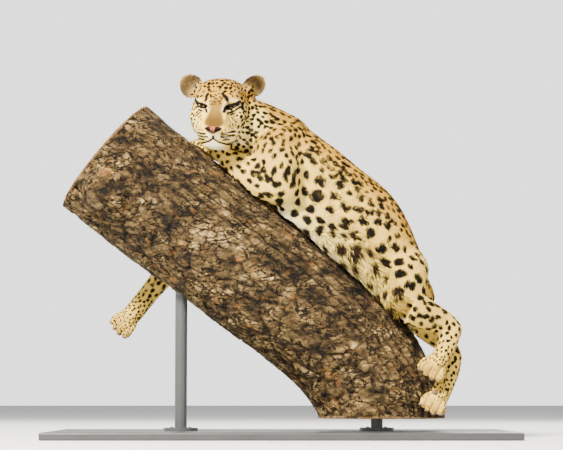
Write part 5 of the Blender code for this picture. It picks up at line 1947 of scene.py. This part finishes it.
layers = ramp_from(broad, screen_stops(BARK_STOPS))
layers = blend(layers, ramp_from(flakes, FLAKE_STOPS))
layers = blend(layers, ramp_from(stored("plate"), PLATE_STOPS))
scaly_where = ramp_from(broad, [(0.48, (0.1, 0.1, 0.1)), (0.6, FULL)])
layers = blend(layers, ramp_from(scales, SCALE_STOPS), scaly_where)
layers = blend(layers, splits)
rust = on_bark("ShaderNodeRGB")
rust.outputs[0].default_value = (*linear(140, 88, 34), 1)
rusty_noise = noise_from(bark_place, 26.0, 5.0, 0.5)
rusty_where = ramp_from(rusty_noise, [(0.64, (0.0, 0.0, 0.0)), (0.7, (0.45, 0.45, 0.45))])
layers = blend(layers, (rust, "Color"), rusty_where, "MIX")
# painted shade in the deep carving, and a little painted light where the bark is carved least
layers = blend(layers, ramp_from(stored("depth"), CAVITY_SHADE_STOPS))
print(len(bark_material.node_tree.nodes), "nodes for the bark")

# %% [markdown]
# The sawn ends show pale wood with year rings. A ring is a wave of the distance from the pith, bent by slow
# noise, and a second ramp gives the dark heart and the dark line under the bark.

# %% Sawn wood
RINGS_PER_METRE = 1100.0    # as radians along the radius
WOOD_STOPS = [(0.0, (168, 132, 92)), (0.6, (196, 164, 122)), (1.0, (206, 178, 138))]
HEART_STOPS = [
    (0.09, (0.72, 0.6, 0.5)), (0.12, FULL), (0.155, (0.9, 0.86, 0.8)), (0.165, (0.5, 0.42, 0.34)),
]
wobble = noise_from(bark_place, 8.0, 4.0, 0.5)
bent_radius = on_bark("ShaderNodeMath", {0: wobble, 1: 0.05, 2: stored("pith")}, operation="MULTIPLY_ADD")
ring_turn = on_bark("ShaderNodeMath", {0: (bent_radius, 0), 1: RINGS_PER_METRE}, operation="MULTIPLY")
ring_wave = (on_bark("ShaderNodeMath", {0: (ring_turn, 0)}, operation="SINE"), 0)
wood = ramp_from(ring_wave, screen_stops(WOOD_STOPS))
wood = blend(wood, ramp_from(stored("pith"), HEART_STOPS))
whole_limb = blend(layers, wood, stored("sawn"), "MIX")
relief = on_bark("ShaderNodeMath", {0: flakes, 1: 3.5, 2: splits}, operation="MULTIPLY_ADD")
feed(bark_shader, {"Base Color": whole_limb})
add_bump(bark_shader, (relief, 0), 1.0, 0.0034)
bark.data.materials.append(bark_material)
finish_piece(bark, "bark", "perch_limb")

# %% [markdown]
# ## The stand
# A museum stand is meant to be overlooked: a steel base and rods in satin dark grey paint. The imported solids
# keep their shapes and get a paint with a faint orange-peel bump. Four screws hold each flange, and a
# Geometry Nodes tree sets them on a ring.

# %% Stand paint
paint, paint_shader, paint_place = clouded_material(
    "satin_paint", {}, 7.0, (50, 51, 53), (60, 61, 63))
add_bump(paint_shader, noise_from(paint_place, 650.0, 2.0), 0.25, 0.0003)
gloss_stops = [(0.35, (0.36, 0.36, 0.36)), (0.7, (0.52, 0.52, 0.52))]
feed(paint_shader, {"Roughness": ramp_from(noise_from(paint_place, 22.0), gloss_stops)})
for name in nodes:
    if name.startswith("stand_"):
        nodes[name].data.materials.clear()
        nodes[name].data.materials.append(paint)

steel_sockets = {"Roughness": 0.35, "Metallic": 1.0}
steel, *_ = clouded_material("screw_steel", steel_sockets, 160.0, (120, 120, 122), (168, 168, 170))
print("painted the stand")

# %% [markdown]
# A screw is a turned head with a socket, so it is built as rings of points, from its foot over the dome and
# down into the socket. The tree puts one on each corner of a ring and makes the copies real.

# %% Flange screws
SCREW_SIDES = 12
# radius and height of each ring: the dome, then the socket's mouth and its bottom
SCREW_RINGS = [
    (0.004, 0.0), (0.004, 0.0016), (0.0032, 0.0026), (0.0019, 0.0029), (0.0017, 0.0029), (0.0016, 0.0012),
]
SCREWS_PER_FLANGE = 4
SCREW_CIRCLE = 0.033


def screw_mesh():
    """A domed screw head with a socket, standing on z = 0."""
    head = bmesh.new()
    turns = np.arange(SCREW_SIDES) * math.tau / SCREW_SIDES
    rings = [
        [head.verts.new((radius * math.cos(turn), radius * math.sin(turn), height)) for turn in turns]
        for radius, height in SCREW_RINGS
    ]
    for lower, higher in zip(rings, rings[1:]):
        for step in range(SCREW_SIDES):
            following = (step + 1) % SCREW_SIDES
            head.faces.new((lower[step], lower[following], higher[following], higher[step]))
    head.faces.new(rings[0][::-1])
    head.faces.new(rings[-1])
    return mesh_from("screw", head)


screw = bpy.data.objects.new("screw_pattern", screw_mesh())
screw_tree, entry, keys = geometry_tree("ring_of_screws", {
    "Geometry": "Geometry", "Count": "Int", "Ring radius": "Float",
})
ring_sockets = {"Vertices": (entry, "Count"), "Radius": (entry, "Ring radius")}
ring = add_node(screw_tree, "GeometryNodeMeshCircle", ring_sockets)
pattern = add_node(screw_tree, "GeometryNodeObjectInfo", {"Object": screw})
placed = add_node(screw_tree, "GeometryNodeInstanceOnPoints", {
    "Points": (ring, "Mesh"), "Instance": (pattern, "Geometry"),
})
close_tree(screw_tree, (placed, "Instances"), steel)
for flange in ("stand_flange_upper", "stand_flange_lower"):
    low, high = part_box(flange)
    middle = ((low[0] + high[0]) / 2, (low[1] + high[1]) / 2, high[2] - 0.0002)
    screws = new_object(flange.replace("flange", "screws"), bpy.data.meshes.new("screws"))
    run_tree(screws, screw_tree, {keys["Count"]: SCREWS_PER_FLANGE, keys["Ring radius"]: SCREW_CIRCLE})
    screws.data.transform(Matrix.Translation(middle) @ Matrix.Rotation(math.radians(45), 4, "Z"))
    finish_piece(screws, "stand_paint")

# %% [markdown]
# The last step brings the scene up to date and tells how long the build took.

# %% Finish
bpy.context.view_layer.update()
print("built in", round(time.time() - started), "s")
